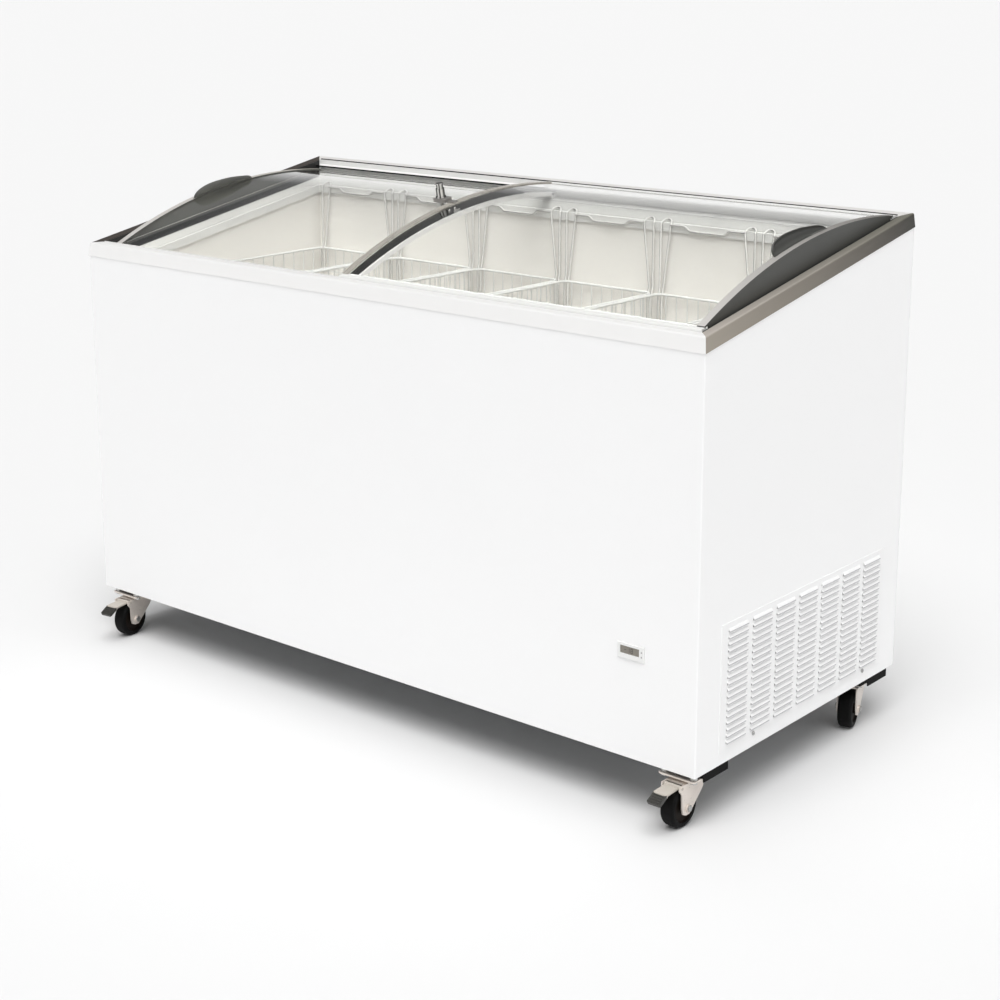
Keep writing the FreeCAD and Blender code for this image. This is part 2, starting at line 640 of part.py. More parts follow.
# ---- lock ---------------------------------------------------------------------------------
LOCK_X = -88.0
LOCK_Y = 9.0
BARREL_RADIUS = 8.8
BARREL_TOP = 27.0
STEM_RADIUS = 7.0
STEM_TOP = 37.6
CAP_RADIUS = 8.2
CAP_TALL = 2.3
PIN_RADIUS = 3.4
PLUNGER_TRAVEL = 8.0
PIN_END = -15.5            # the raised bolt stops just short of the keeper
KEEPER_TALL = 7.0
KEEPER_HALF_Y = 9.0


def lock_place():
    """Where the lock's base stands on the upper lid's curve."""
    u = LOCK_Y / math.cos(math.radians(TILT))
    y, z = lid_place(u, lid_arc(u, 0) + 0.05)
    return (LOCK_X, y, z)


def lock_bracket():
    """A block on the lower lid's side of the strip, held by a tongue on the strip."""
    thick, reach, half = 8.0, 19.0, 11.5
    block = box(-12.5, reach, -half, half, 0, thick)
    block = block.makeFillet(2.5, [e for e in block.Edges if abs(e.Length - thick) < 0.01])
    block = block.makeFillet(1.0, [e for e in block.Edges if e.CenterOfMass.z > thick - 0.01])
    tongue = box(reach - 4, 37, -6.5, 6.5, 0, 3.0)
    whole = fused([block, tongue])
    whole = whole.cut(cylinder((0, 0, -1), (0, 0, 1), BARREL_RADIUS + 0.05, 20))
    return tilted(whole, lock_place())


def lock_barrel():
    """Chrome housing: it stands in the bracket and guides the plunger and its bolt."""
    body = cylinder((0, 0, 0), (0, 0, 1), BARREL_RADIUS, BARREL_TOP)
    collar = cylinder((0, 0, 8.3), (0, 0, 1), BARREL_RADIUS + 1.6, 2.6)
    bore = cylinder((0, 0, 2), (0, 0, 1), STEM_RADIUS + RUNNING, 30)
    guide = cylinder((0, 0, -1), (0, 0, 1), PIN_RADIUS + RUNNING, 10)
    return tilted(fused([body, collar]).cut(bore).cut(guide), lock_place())


def lock_plunger():
    """The push-in cylinder with its key slot, and the bolt under it."""
    foot = 2.5 + PLUNGER_TRAVEL
    stem = cylinder((0, 0, foot), (0, 0, 1), STEM_RADIUS, STEM_TOP - foot)
    cap = cylinder((0, 0, STEM_TOP - CAP_TALL), (0, 0, 1), CAP_RADIUS, CAP_TALL)
    cap = cap.makeFillet(0.8, [e for e in cap.Edges
                               if len(e.Vertexes) == 1 and e.CenterOfMass.z > STEM_TOP - 1])
    pin = cylinder((0, 0, PIN_END), (0, 0, 1), PIN_RADIUS, foot - PIN_END + 0.5)
    keyway = box(-3.8, 3.8, -0.9, 0.9, STEM_TOP - 3.0, STEM_TOP + 2.0)
    whole = fused([stem, cap, pin]).cut(keyway)
    return tilted(whole, lock_place())


def keeper_foot():
    """Where the keeper's foot stands along the lock's axis, just clear of the lower glass."""
    turn = math.radians(TILT)
    u = LOCK_Y / math.cos(turn)
    nearest = u + LID_DROP * math.sin(turn) - KEEPER_HALF_Y
    glass_top = lid_arc(nearest, FLANGE + 0.1) - LID_DROP * math.cos(turn)
    return glass_top + 0.02 - lid_arc(u, 0) - 0.05


def lock_keeper():
    """A low block on the lower lid with a hole that the bolt drops into."""
    foot = keeper_foot()
    block = box(-11, 11, -KEEPER_HALF_Y, KEEPER_HALF_Y, foot, foot + KEEPER_TALL)
    block = block.makeFillet(1.5, [e for e in block.Edges if abs(e.Length - KEEPER_TALL) < 0.01])
    block = block.cut(cylinder((0, 0, foot - 1), (0, 0, 1), PIN_RADIUS + 1.2, KEEPER_TALL + 2))
    return tilted(block, lock_place())


# ---- baskets ------------------------------------------------------------------------------
HOOK_WIRE = 2.0                # its radius
LIP_Y = HALF_D - 55.0          # inner face of the collar's lip
HOOK_Y = LIP_Y - 2.8
CHANNEL_Y = HALF_D - 48.2
BASKET_SHEET = 0.8
LIP_TOP = -50.5                # from the sloping top plane


def hook(x, way):
    """One hanger: from the rim up in front of the collar's lip, over it and into the channel."""
    y, over = way * HOOK_Y, way * CHANNEL_Y
    top = top_z(way * (LIP_Y + 2.0), LIP_TOP) + HOOK_WIRE + 1.2
    run = [(x, y, BASKET_RIM - 12), (x, y, top), (x, over, top), (x, over, top - 8.5)]
    return wire_tube(run, HOOK_WIRE, 2.6)


def basket(centre):
    """An open-topped tray: a floor and four rimmed walls, each a solid of its own. The front
    and rear walls carry four hangers each."""
    x, y, low = BASKET_HALF_X, BASKET_HALF_Y, BASKET_RIM - BASKET_DEPTH
    t, floor = BASKET_SHEET, BASKET_RIM - BASKET_DEPTH + BASKET_SHEET
    rim_low, rim_out, rim_in = BASKET_RIM - 5, 6.2, 2.0
    solids = [box(centre - x, centre + x, -y, y, low, floor)]
    for way in (-1, 1):
        side, end = centre + way * x, way * y
        wall = box(centre - x, centre + x, *sorted((end, end - way * t)), floor, BASKET_RIM)
        rim = box(centre - x - 1, centre + x + 1, *sorted((end + way * rim_out, end)),
                  rim_low, BASKET_RIM)
        hooks = [hook(centre + sx * off, way) for sx in (-1, 1) for off in (x - 4, x - 30)]
        solids.append(fused([wall, rim] + hooks))
        wall = box(*sorted((side, side - way * t)), t - y, y - t, floor, BASKET_RIM)
        rim = box(*sorted((side + way, side - way * rim_in)), t - y, y - t, rim_low, BASKET_RIM)
        solids.append(fused([wall, rim]))
    return solids


# ---- casters ------------------------------------------------------------------------------
PLATE_TOP = UNDERSIDE - 8.0
PLATE_X = 75.0
PLATE_Y = 76.0
PLATE = 3.0                # its thickness
BOLT_DX = 29.0
BOLT_DY = 27.0
BOLT_RADIUS = 4.0
BOLT_HOLE = 4.3
HEAD = 4.0                 # bolt head
SKID_LOW = 83.8            # just over what swivels under it
SKID_LIP = 2.0
CUP_BOTTOM = 84.0          # the raceway under the plate
CROWN_TOP = 83.0           # the fork's upper face
CROWN = 2.6
LEG_X = 17.0               # inner face of a fork's leg, from its middle
LEG = 2.6
AXLE_RADIUS = 4.0
KINGPIN_RADIUS = 5.0
PEDAL_AT = (-46.0, 78.6)       # pedal's pin, from the swivel's axis and above the floor
PEDAL_DROOP = 3.0
PEDAL_ARM = 34.0
PAD_DROOP = 25.0               # the tread pad hangs lower than the arm
PAD_LONG = 26.0
PAD_HALF = 14.0
PEDAL_PIN = 2.5


def bolt_places():
    return [(x + sx * BOLT_DX, y + sy * BOLT_DY)
            for x, y, _, _ in CASTERS.values() for sx in (-1, 1) for sy in (-1, 1)]


def bolt_holes(radius):
    return [cylinder((x, y, 60), (0, 0, 1), radius, 60) for x, y in bolt_places()]


def caster_plate(x, y):
    plate = box(x - PLATE_X / 2, x + PLATE_X / 2, y - PLATE_Y / 2, y + PLATE_Y / 2,
                PLATE_TOP - PLATE, PLATE_TOP)
    plate = plate.makeFillet(5, [e for e in plate.Edges if abs(e.Length - PLATE) < 0.01])
    cup = cylinder((x, y, CUP_BOTTOM), (0, 0, 1), 27, PLATE_TOP - CUP_BOTTOM - 0.5)
    cup = cup.makeFillet(2.0, [e for e in cup.Edges
                               if len(e.Vertexes) == 1 and e.CenterOfMass.z < CUP_BOTTOM + 1])
    kingpin = cylinder((x, y, CROWN_TOP - CROWN - 2.0), (0, 0, 1), KINGPIN_RADIUS, 8)
    whole = fused([plate, cup, kingpin])
    return whole.cut(Part.makeCompound(bolt_holes(BOLT_HOLE)))


def caster_bolt(x, y):
    """Hex bolt from below, a nut on the base pan, and a spacer where the skid doesn't reach."""
    low = PLATE_TOP - PLATE
    shank = cylinder((x, y, low - 1), (0, 0, 1), BOLT_RADIUS, UNDERSIDE + 10 - low)
    parts = [shank, hexagon(x, y, low - HEAD - 0.1, HEAD, 6.5), hexagon(x, y, ON_PAN, 6.0, 6.5)]
    if y < CASTER_FRONT_Y:
        parts.append(cylinder((x, y, PLATE_TOP + 0.1), (0, 0, 1), 7.5, UNDERSIDE - PLATE_TOP - 0.2))
    return fused(parts)


def hexagon(x, y, z, tall, half_flats):
    r = half_flats / math.cos(math.radians(30))
    points = [(x + r * math.cos(math.radians(60 * k)), y + r * math.sin(math.radians(60 * k)), z)
              for k in range(6)]
    return face(points).extrude(Vector(0, 0, tall))


def skid_block(x, y):
    """A black pad between the base and the caster plate. It wraps the plate's outer edge and
    hangs down behind the plate."""
    before, after = (16, 62) if y < 0 else (42, 59)
    way = 1 if x > 0 else -1
    out_x, in_x = way * (HALF_L - 0.6), x - way * 37
    pad = box(*sorted((in_x, out_x)), y - before, y + after, PLATE_TOP + 0.2, UNDERSIDE - 0.2)
    tail = box(*sorted((in_x, out_x)), y + PLATE_Y / 2 + 0.6, y + after, SKID_LOW, UNDERSIDE - 0.2)
    lip = box(*sorted((out_x - way * SKID_LIP, out_x)), y - 12, y + after, SKID_LOW,
              UNDERSIDE - 0.2)
    return fused([pad, tail, lip]).cut(Part.makeCompound(bolt_holes(BOLT_HOLE)))


def caster_fork(braked):
    """Crown, two legs and the axle, about the swivel's axis, with the wheel to its front."""
    side, z = LEG_X + LEG, WHEEL_RADIUS
    crown = cylinder((0, 0, CROWN_TOP - CROWN), (0, 0, 1), 25, CROWN)
    crown = crown.fuse(box(-side, side, -38, 20, CROWN_TOP - CROWN, CROWN_TOP))
    crown = crown.cut(cylinder((0, 0, 60), (0, 0, 1), KINGPIN_RADIUS + RUNNING, 40))
    ear = [(-52, CROWN_TOP), (-53, 75), (-46, 66)] if braked else [(-42, CROWN_TOP), (-45, 78)]
    outline = [(-TRAIL - 17, z + 2), (-TRAIL - 14, z - 8), (-TRAIL - 5, z - 12),
               (-TRAIL + 5, z - 12), (-TRAIL + 11, z - 7), (16, 61), (23, CROWN_TOP - 6),
               (23, CROWN_TOP)] + ear
    legs = [face([(x, a, b) for a, b in outline]).extrude(Vector(LEG, 0, 0))
            for x in (LEG_X, -side)]
    axle = cylinder((-side - 1, -TRAIL, z), (1, 0, 0), AXLE_RADIUS, 2 * side + 2)
    caps = [cylinder((x, -TRAIL, z), (1, 0, 0), 7.0, 3.4) for x in (-side - 3.2, side - 0.2)]
    fork = fused([crown] + legs + [axle] + caps)
    if braked:
        y, z = PEDAL_AT
        fork = fork.cut(cylinder((-40, y, z), (1, 0, 0), PEDAL_PIN + RUNNING, 80))
    return fork


def caster_wheel():
    """Rubber-tyred wheel with a rounded tread, turned about its bore."""
    r, half, bore = WHEEL_RADIUS, WHEEL_WIDTH / 2, AXLE_RADIUS + RUNNING
    boss = LEG_X - 0.5
    outline = [(bore, -boss), (10, -boss), (10, -half + 4), (26, -half + 4), (28, -half),
               (r - 5, -half)]
    flat = half - 6.0
    rise = Part.Arc(Vector(-half, 0, r - 5), Vector(-half + 2.0, 0, r - 1.5),
                    Vector(-flat, 0, r)).toShape()
    fall = Part.Arc(Vector(flat, 0, r), Vector(half - 2.0, 0, r - 1.5),
                    Vector(half, 0, r - 5)).toShape()
    down = [Part.LineSegment(Vector(b[1], 0, b[0]), Vector(a[1], 0, a[0])).toShape()
            for a, b in zip(outline[1:], outline)]
    up = [Part.LineSegment(Vector(-a[1], 0, a[0]), Vector(-b[1], 0, b[0])).toShape()
          for a, b in zip(outline[1:], outline)]
    tread = Part.LineSegment(Vector(-flat, 0, r), Vector(flat, 0, r)).toShape()
    core = Part.LineSegment(Vector(-boss, 0, bore), Vector(boss, 0, bore)).toShape()
    wire = Part.Wire(Part.__sortEdges__(down + [rise, tread, fall] + up + [core]))
    wheel = Part.Face(wire).revolve(Vector(0, 0, 0), Vector(1, 0, 0), 360)
    wheel.translate(Vector(0, -TRAIL, r))
    return wheel


def brake_pedal():
    """Foot pedal on a pin through the fork's ears, with a tread pad on a bent arm."""
    y, z = PEDAL_AT
    half, thick = LEG_X - 0.6, 4.8
    barrel = cylinder((-half, 0, 0), (1, 0, 0), 4.2, 2 * half)
    pin = cylinder((-LEG_X - LEG - 1, 0, 0), (1, 0, 0), PEDAL_PIN, 2 * (LEG_X + LEG + 1))
    arm = box(-half + 2.5, half - 2.5, -PEDAL_ARM - 4, -1, -1.4, 1.4)
    pad = box(-PAD_HALF, PAD_HALF, -PAD_LONG, 0, -thick / 2, thick / 2)
    pad = pad.makeFillet(3.5, [e for e in pad.Edges if abs(e.Length - thick) < 0.01])
    ribs = [box(3 - PAD_HALF, PAD_HALF - 3, at - PAD_LONG, at - PAD_LONG + 2.4, 0, thick / 2 + 0.9)
            for at in (3.5, 8.5, 13.5, 18.5)]
    pad = fused([pad] + ribs)
    pad.rotate(Vector(0, 0, 0), Vector(1, 0, 0), PAD_DROOP)
    pad.translate(Vector(0, -PEDAL_ARM, 0))
    pedal = fused([barrel, pin, arm, pad])
    pedal.rotate(Vector(0, 0, 0), Vector(1, 0, 0), PEDAL_DROOP)
    pedal.translate(Vector(0, y, z))
    return pedal


def at_caster(shape, place):
    x, y, turn, _ = place
    out = shape.copy()
    out.rotate(Vector(0, 0, 0), Vector(0, 0, 1), turn)
    out.translate(Vector(x, y, 0))
    return out


# ---- build --------------------------------------------------------------------------------
def build_cabinet():
    save("outer_shell", outer_shell())
    save("rear_panel", rear_panel())
    save("base_pan", base_pan())
    save("insulation_foam", insulation_foam())
    save("inner_liner", inner_liner())
    save("drain_plug", drain_plug())
    save("liner_collar", *[frame_bar(COLLAR, s) for s in ("front", "rear", "left", "right")])
    for side in ("front", "rear", "left", "right"):
        save(f"{side}_rail", frame_bar(RAIL, side))
    for side in ("front", "rear"):
        save(f"{side}_track", frame_bar(TRACK, side))
    save("side_trims", *[frame_bar(SIDE_TRIM, s) for s in ("left", "right")])
    save("grille_panel", grille_panel())
    save("panel_screws", *[panel_screw(y, z) for y, z in GRILLE_SCREWS])
    save("thermometer_bezel", thermometer_bezel())
    save("thermometer_display", thermometer_display())


def build_machine():
    save("compressor", compressor())
    save("compressor_mounts", *compressor_mounts())
    save("relay_box", relay_box())
    save("condenser_coil", condenser_coil())
    save("condenser_fan_housing", condenser_fan_housing())
    save("fan_blade", fan_blade())
    save("filter_drier", filter_drier())
    save("cord_inlet", cord_inlet())


def build_lids():
    span = (LID_INNER_END + 1.6, LID_END - GABLE_SHEET)
    save("upper_lid_glass", lid_glass(*span, 0))
    save("upper_lid_sliders", *[lid_slider(LID_INNER_END, LID_END, 0, way) for way in (-1, 1)])
    save("upper_lid_gable", gable(0))
    save("upper_lid_handle", handle(0))
    save("upper_lid_strip", edge_strip(LID_INNER_END, LID_INNER_END + STRIP_WIDTH, 0))
    save("upper_lid_seal", lid_seal())

    drop = LID_DROP
    inner = -LOWER_INNER_END
    save("lower_lid_glass", mirror_x(lid_glass(inner + 1.6, LID_END - GABLE_SHEET, drop)))
    save("lower_lid_sliders",
         *[mirror_x(lid_slider(inner, LID_END, drop, way)) for way in (-1, 1)])
    save("lower_lid_gable", mirror_x(gable(drop)))
    save("lower_lid_handle", mirror_x(handle(drop)))
    save("lower_lid_strip", mirror_x(edge_strip(inner, inner + STRIP_WIDTH, drop)))


def build_lock():
    save("lock_bracket", lock_bracket())
    save("lock_barrel", lock_barrel())
    save("lock_plunger", lock_plunger())
    save("lock_keeper", lock_keeper())


def build_baskets():
    for k in range(BASKETS):
        save(f"basket_{k + 1}", *basket((k - (BASKETS - 1) / 2) * BASKET_PITCH))


def build_casters():
    places = list(CASTERS.values())
    save("caster_plates", *[caster_plate(x, y) for x, y, _, _ in places])
    save("caster_bolts", *[caster_bolt(x, y) for x, y in bolt_places()])
    save("corner_skids", *[skid_block(x, y) for x, y, _, _ in places])
    wheel, pedal = caster_wheel(), brake_pedal()
    for name, place in CASTERS.items():
        save(f"{name}_fork", at_caster(caster_fork(place[3]), place))
        save(f"{name}_wheel", at_caster(wheel, place))
        if place[3]:
            save(f"{name}_brake_pedal", at_caster(pedal, place))


build_cabinet()
build_machine()
build_lids()
build_lock()
build_baskets()
build_casters()
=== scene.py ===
import json
import math

import bmesh
import bpy
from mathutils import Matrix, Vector


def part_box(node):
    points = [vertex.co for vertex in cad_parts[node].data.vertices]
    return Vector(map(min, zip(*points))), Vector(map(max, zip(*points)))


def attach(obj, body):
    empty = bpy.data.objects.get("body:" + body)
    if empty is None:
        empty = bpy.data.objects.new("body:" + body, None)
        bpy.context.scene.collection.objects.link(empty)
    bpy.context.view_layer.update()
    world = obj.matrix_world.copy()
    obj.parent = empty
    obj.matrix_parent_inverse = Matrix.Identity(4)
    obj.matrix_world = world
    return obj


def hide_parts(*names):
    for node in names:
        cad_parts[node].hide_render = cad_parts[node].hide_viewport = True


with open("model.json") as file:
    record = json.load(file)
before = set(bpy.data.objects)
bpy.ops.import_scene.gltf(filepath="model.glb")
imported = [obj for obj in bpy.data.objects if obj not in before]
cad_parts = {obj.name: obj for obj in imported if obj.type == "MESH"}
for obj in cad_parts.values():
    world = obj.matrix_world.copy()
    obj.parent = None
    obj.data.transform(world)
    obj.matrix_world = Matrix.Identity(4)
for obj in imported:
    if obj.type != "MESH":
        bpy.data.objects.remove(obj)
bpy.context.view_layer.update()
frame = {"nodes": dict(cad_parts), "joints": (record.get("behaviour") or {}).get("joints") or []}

# Looks of the chest freezer. Units are metres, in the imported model's own frame:
# X to the right along the front, Y to the back, Z up from the floor.

# ---- places ---------------------------------------------------------------------------------
RAIL_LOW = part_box("front_rail")[0]
REAR_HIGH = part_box("rear_rail")[1]
CENTRE_Y = (RAIL_LOW.y + REAR_HIGH.y) / 2
HALF_DEPTH = 0.342              # of the cabinet
TOP_RISE = 0.128                # of the sloping top, from its front edge to its rear edge
MID_TOP = 0.922                 # height of the sloping top above the cabinet's centre line
TILT = math.atan2(TOP_RISE, 2 * HALF_DEPTH)
LID_RISE = 0.047                # of a lid's curve over its chord, measured upright
LID_HALF_SPAN = 0.316
LID_DROP = 0.022                # of the lower lid below the upper one
HALF_CHORD = LID_HALF_SPAN / math.cos(TILT)
SAGITTA = LID_RISE * math.cos(TILT)
LID_RADIUS = (HALF_CHORD**2 + SAGITTA**2) / (2 * SAGITTA)
BASKET_NAMES = [f"basket_{k}" for k in range(1, 7)]


def top_z(y, h=0.0):
    """Height of the sloping top plane at y, measured from the cabinet's centre line."""
    return MID_TOP + math.tan(TILT) * y + h


def lid_point(u, above):
    """(y, z) on the upper lid: u along its chord, and so far above its curved top."""
    n = math.sqrt((LID_RADIUS + above) ** 2 - u * u) - (LID_RADIUS - SAGITTA)
    y = u * math.cos(TILT) - n * math.sin(TILT)
    z = MID_TOP + u * math.sin(TILT) + n * math.cos(TILT)
    return y + CENTRE_Y, z


# ---- mesh helpers ---------------------------------------------------------------------------
def bent(points, radius, steps=4):
    """The same path with its corners rounded to a radius."""
    path = [Vector(points[0])]
    for before, corner, after in zip(points, points[1:], points[2:]):
        before, corner, after = Vector(before), Vector(corner), Vector(after)
        a, b = (before - corner).normalized(), (after - corner).normalized()
        half = a.angle(b) / 2
        back = min(radius / math.tan(half), 0.48 * (before - corner).length,
                   0.48 * (after - corner).length)
        start, end = corner + a * back, corner + b * back
        for i in range(steps + 1):
            t = i / steps
            path.append(start * (1 - t) ** 2 + corner * (2 * t * (1 - t)) + end * t**2)
    path.append(Vector(points[-1]))
    return path


def add_tube(bm, points, radius, sides=8, closed=False):
    """Adds a round bar along points to a bmesh, with flat ends unless it is closed."""
    points = [Vector(p) for p in points]
    count = len(points)
    rings = []
    normal = None
    for i, p in enumerate(points):
        ahead = points[(i + 1) % count] if closed or i + 1 < count else None
        behind = points[i - 1] if closed or i > 0 else None
        if ahead is None:
            way = p - behind
        elif behind is None:
            way = ahead - p
        else:
            way = (ahead - p).normalized() + (p - behind).normalized()
        way.normalize()
        if normal is None:
            normal = way.orthogonal().normalized()
        normal = (normal - way * normal.dot(way)).normalized()
        side = way.cross(normal)
        ring = []
        for k in range(sides):
            a = 2 * math.pi * k / sides
            ring.append(bm.verts.new(p + (normal * math.cos(a) + side * math.sin(a)) * radius))
        rings.append(ring)
    pairs = list(zip(rings, rings[1:])) + ([(rings[-1], rings[0])] if closed else [])
    for one, two in pairs:
        for k in range(sides):
            j = (k + 1) % sides
            bm.faces.new((one[k], one[j], two[j], two[k]))
    if not closed:
        bm.faces.new(list(reversed(rings[0])))
        bm.faces.new(rings[-1])


def add_prism(bm, outline, offset):
    """Adds the solid that a flat outline sweeps along offset."""
    low = [bm.verts.new(Vector(p)) for p in outline]
    high = [bm.verts.new(Vector(p) + Vector(offset)) for p in outline]
    bm.faces.new(list(reversed(low)))
    bm.faces.new(high)
    for k in range(len(low)):
        j = (k + 1) % len(low)
        bm.faces.new((low[k], low[j], high[j], high[k]))


def add_block(bm, low, high):
    """Adds a box between two corners."""
    (x0, y0, z0), (x1, y1, z1) = low, high
    add_prism(bm, [(x0, y0, z0), (x1, y0, z0), (x1, y1, z0), (x0, y1, z0)], (0, 0, z1 - z0))


PIECE_CREASE = math.radians(40)     # the least angle that stays sharp on an added piece
NODE_CREASE = math.radians(28)      # the same on a node of the part


def finish_piece(bm, name, body, material, smooth=True, bevel=0.0):
    """Turns a bmesh into a piece that rides on a body."""
    bmesh.ops.recalc_face_normals(bm, faces=bm.faces)
    mesh = bpy.data.meshes.new(name)
    bm.to_mesh(mesh)
    bm.free()
    piece = bpy.data.objects.new(name, mesh)
    bpy.context.scene.collection.objects.link(piece)
    mesh.materials.append(material)
    if bevel:
        rounding = piece.modifiers.new("rounding", "BEVEL")
        rounding.width = bevel
        rounding.segments = 2
        rounding.limit_method = "ANGLE"
    if smooth:
        mesh.shade_smooth()
        mesh.set_sharp_from_angle(angle=PIECE_CREASE)
    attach(piece, body)
    return piece


HEAD_PROFILE = ((1.0, 0.0), (1.0, 0.35), (0.86, 0.75), (0.55, 1.0))
HEAD_DIP = 0.55


def add_head(bm, at, way, radius, tall):
    """A domed screw or rivet head with a dip in its middle, standing on a surface."""
    way = Vector(way).normalized()
    side = way.orthogonal().normalized()
    other = way.cross(side)
    at = Vector(at)
    sides = 16
    rings = [[bm.verts.new(at + (side * math.cos(a) + other * math.sin(a)) * radius * r
                           + way * tall * t)
              for a in [2 * math.pi * k / sides for k in range(sides)]]
             for r, t in HEAD_PROFILE]
    for one, two in zip(rings, rings[1:]):
        for k in range(sides):
            j = (k + 1) % sides
            bm.faces.new((one[k], one[j], two[j], two[k]))
    dip = bm.verts.new(at + way * tall * HEAD_DIP)
    for k in range(sides):
        bm.faces.new((rings[-1][k], rings[-1][(k + 1) % sides], dip))
    bm.faces.new(list(reversed(rings[0])))


# ---- materials ------------------------------------------------------------------------------
def new_material(name):
    """An empty node material: (material, its nodes, its links, its main shader)."""
    material = bpy.data.materials.new(name)
    material.use_nodes = True
    tree = material.node_tree
    return material, tree.nodes, tree.links, tree.nodes["Principled BSDF"]


def placed(nodes):
    """The place on the piece, in its own coordinates."""
    return nodes.new("ShaderNodeTexCoord").outputs["Object"]


def face_normal(nodes):
    """The way that a face looks."""
    return nodes.new("ShaderNodeNewGeometry").outputs["Normal"]


def one_axis(nodes, links, vector, axis):
    """One axis of a vector."""
    split = nodes.new("ShaderNodeSeparateXYZ")
    links.new(vector, split.inputs["Vector"])
    return split.outputs[axis]


def vector_math(nodes, links, operation, vector, constant):
    """The dot product of a vector with a constant one, or their distance."""
    node = nodes.new("ShaderNodeVectorMath")
    node.operation = operation
    node.inputs[1].default_value = constant
    links.new(vector, node.inputs[0])
    return node.outputs["Value"]


def compare(nodes, links, operation, value, limit):
    """1 where the value is past the limit and 0 elsewhere."""
    node = nodes.new("ShaderNodeMath")
    node.operation = operation
    node.inputs[1].default_value = limit
    links.new(value, node.inputs[0])
    return node.outputs[0]


def both_of(nodes, links, one, two):
    """1 where both values are 1."""
    node = nodes.new("ShaderNodeMath")
    node.operation = "MULTIPLY"
    links.new(one, node.inputs[0])
    links.new(two, node.inputs[1])
    return node.outputs[0]


def noise(nodes, links, scale, stretch=(1, 1, 1), detail=3.0):
    """A noise in the piece's own coordinates, stretched for brushed or drawn surfaces."""
    mapping = nodes.new("ShaderNodeMapping")
    mapping.inputs["Scale"].default_value = stretch
    texture = nodes.new("ShaderNodeTexNoise")
    texture.inputs["Scale"].default_value = scale
    texture.inputs["Detail"].default_value = detail
    links.new(placed(nodes), mapping.inputs["Vector"])
    links.new(mapping.outputs["Vector"], texture.inputs["Vector"])
    return texture.outputs["Fac"]


def map_range(nodes, links, value, before, after=(0.0, 1.0)):
    """Maps a value from one range to another and holds it between their ends."""
    node = nodes.new("ShaderNodeMapRange")
    for label, number in zip(("From Min", "From Max", "To Min", "To Max"), before + after):
        node.inputs[label].default_value = number
    links.new(value, node.inputs["Value"])
    return node.outputs["Result"]


def spread(nodes, links, value, low, high):
    """Maps a noise's middle range to low..high."""
    return map_range(nodes, links, value, (0.3, 0.7), (low, high))


def along_depth(nodes, links):
    """0 at the cabinet's front edge and 1 at its rear edge."""
    place = one_axis(nodes, links, placed(nodes), "Y")
    return map_range(nodes, links, place, (RAIL_LOW.y, REAR_HIGH.y))


def blend_colours(nodes, links, fac, one, two):
    """Mixes two colours, each a tuple or a socket."""
    mix = nodes.new("ShaderNodeMix")
    mix.data_type = "RGBA"
    links.new(fac, mix.inputs["Factor"])
    for value, socket in ((one, mix.inputs["A"]), (two, mix.inputs["B"])):
        if isinstance(value, tuple):
            socket.default_value = (*value, 1.0)
        else:
            links.new(value, socket)
    return mix.outputs["Result"]


def uneven_colour(nodes, links, colour, shade, scale, detail=3.0):
    """A colour that slowly varies down to a shade of itself."""
    fac = spread(nodes, links, noise(nodes, links, scale, detail=detail), 0.0, 1.0)
    return blend_colours(nodes, links, fac, tuple(c * shade for c in colour), colour)


def fine_finish(nodes, links, shader, fine, low, high, grain=0.0, deep=0.0003):
    """Gloss that a fine noise varies from low to high, and a relief from the same noise."""
    links.new(spread(nodes, links, fine, low, high), shader.inputs["Roughness"])
    if grain:
        bump = nodes.new("ShaderNodeBump")
        bump.inputs["Strength"].default_value = grain
        bump.inputs["Distance"].default_value = deep
        links.new(fine, bump.inputs["Height"])
        links.new(bump.outputs["Normal"], shader.inputs["Normal"])


def surface(name, colour, rough, metal=0.0, shade=0.92, grain=0.0, grain_scale=800.0,
            stretch=(1, 1, 1), coat=0.0, vary_scale=6.0, rough_spread=0.06, ior=1.5):
    """A surface with slow colour variation, uneven gloss and a fine grain in its relief."""
    material, nodes, links, shader = new_material(name)
    links.new(uneven_colour(nodes, links, colour, shade, vary_scale, detail=2.0),
              shader.inputs["Base Color"])
    fine_finish(nodes, links, shader, noise(nodes, links, grain_scale, stretch),
                max(rough - rough_spread, 0.02), rough + rough_spread, grain, 0.0004)
    shader.inputs["Metallic"].default_value = metal
    shader.inputs["Coat Weight"].default_value = coat
    shader.inputs["Coat Roughness"].default_value = 0.08
    shader.inputs["IOR"].default_value = ior
    return material


FLANGE_OVER_FOOT = 0.0018       # the lowest place on a flange, over the lid's chord
FLANGE_LOOKS_UP = 0.45          # the least upward part of a flange's normal, past which the flange takes the painted sheen


def plate_and_flange_sheen(name, plate, flange, flange_rear_painted_shade, drop):
    """One moulding in two colours: faces of its flange that look up and stand over the lid's foot
    take a painted sheen, which darkens to painted shade towards the rear.
    """
    material, nodes, links, shader = new_material(name)
    upright = (0.0, -math.sin(TILT), math.cos(TILT))
    foot = Vector((0.0, CENTRE_Y, MID_TOP - drop)).dot(upright) + FLANGE_OVER_FOOT
    upward = vector_math(nodes, links, "DOT_PRODUCT", face_normal(nodes), (0.0, 0.0, 1.0))
    height = vector_math(nodes, links, "DOT_PRODUCT", placed(nodes), upright)
    # faces that look up and stand over the foot take the painted sheen
    flange_sheen_mask = both_of(nodes, links,
                        compare(nodes, links, "GREATER_THAN", upward, FLANGE_LOOKS_UP),
                        compare(nodes, links, "GREATER_THAN", height, foot))
    ground = uneven_colour(nodes, links, plate, 0.88, 9.0)
    # painted sheen at the front that darkens to painted shade at the rear
    edge = blend_colours(nodes, links, along_depth(nodes, links), flange, flange_rear_painted_shade)
    links.new(blend_colours(nodes, links, flange_sheen_mask, ground, edge), shader.inputs["Base Color"])
    fine_finish(nodes, links, shader, noise(nodes, links, 1500.0), 0.36, 0.5, 0.25)
    return material


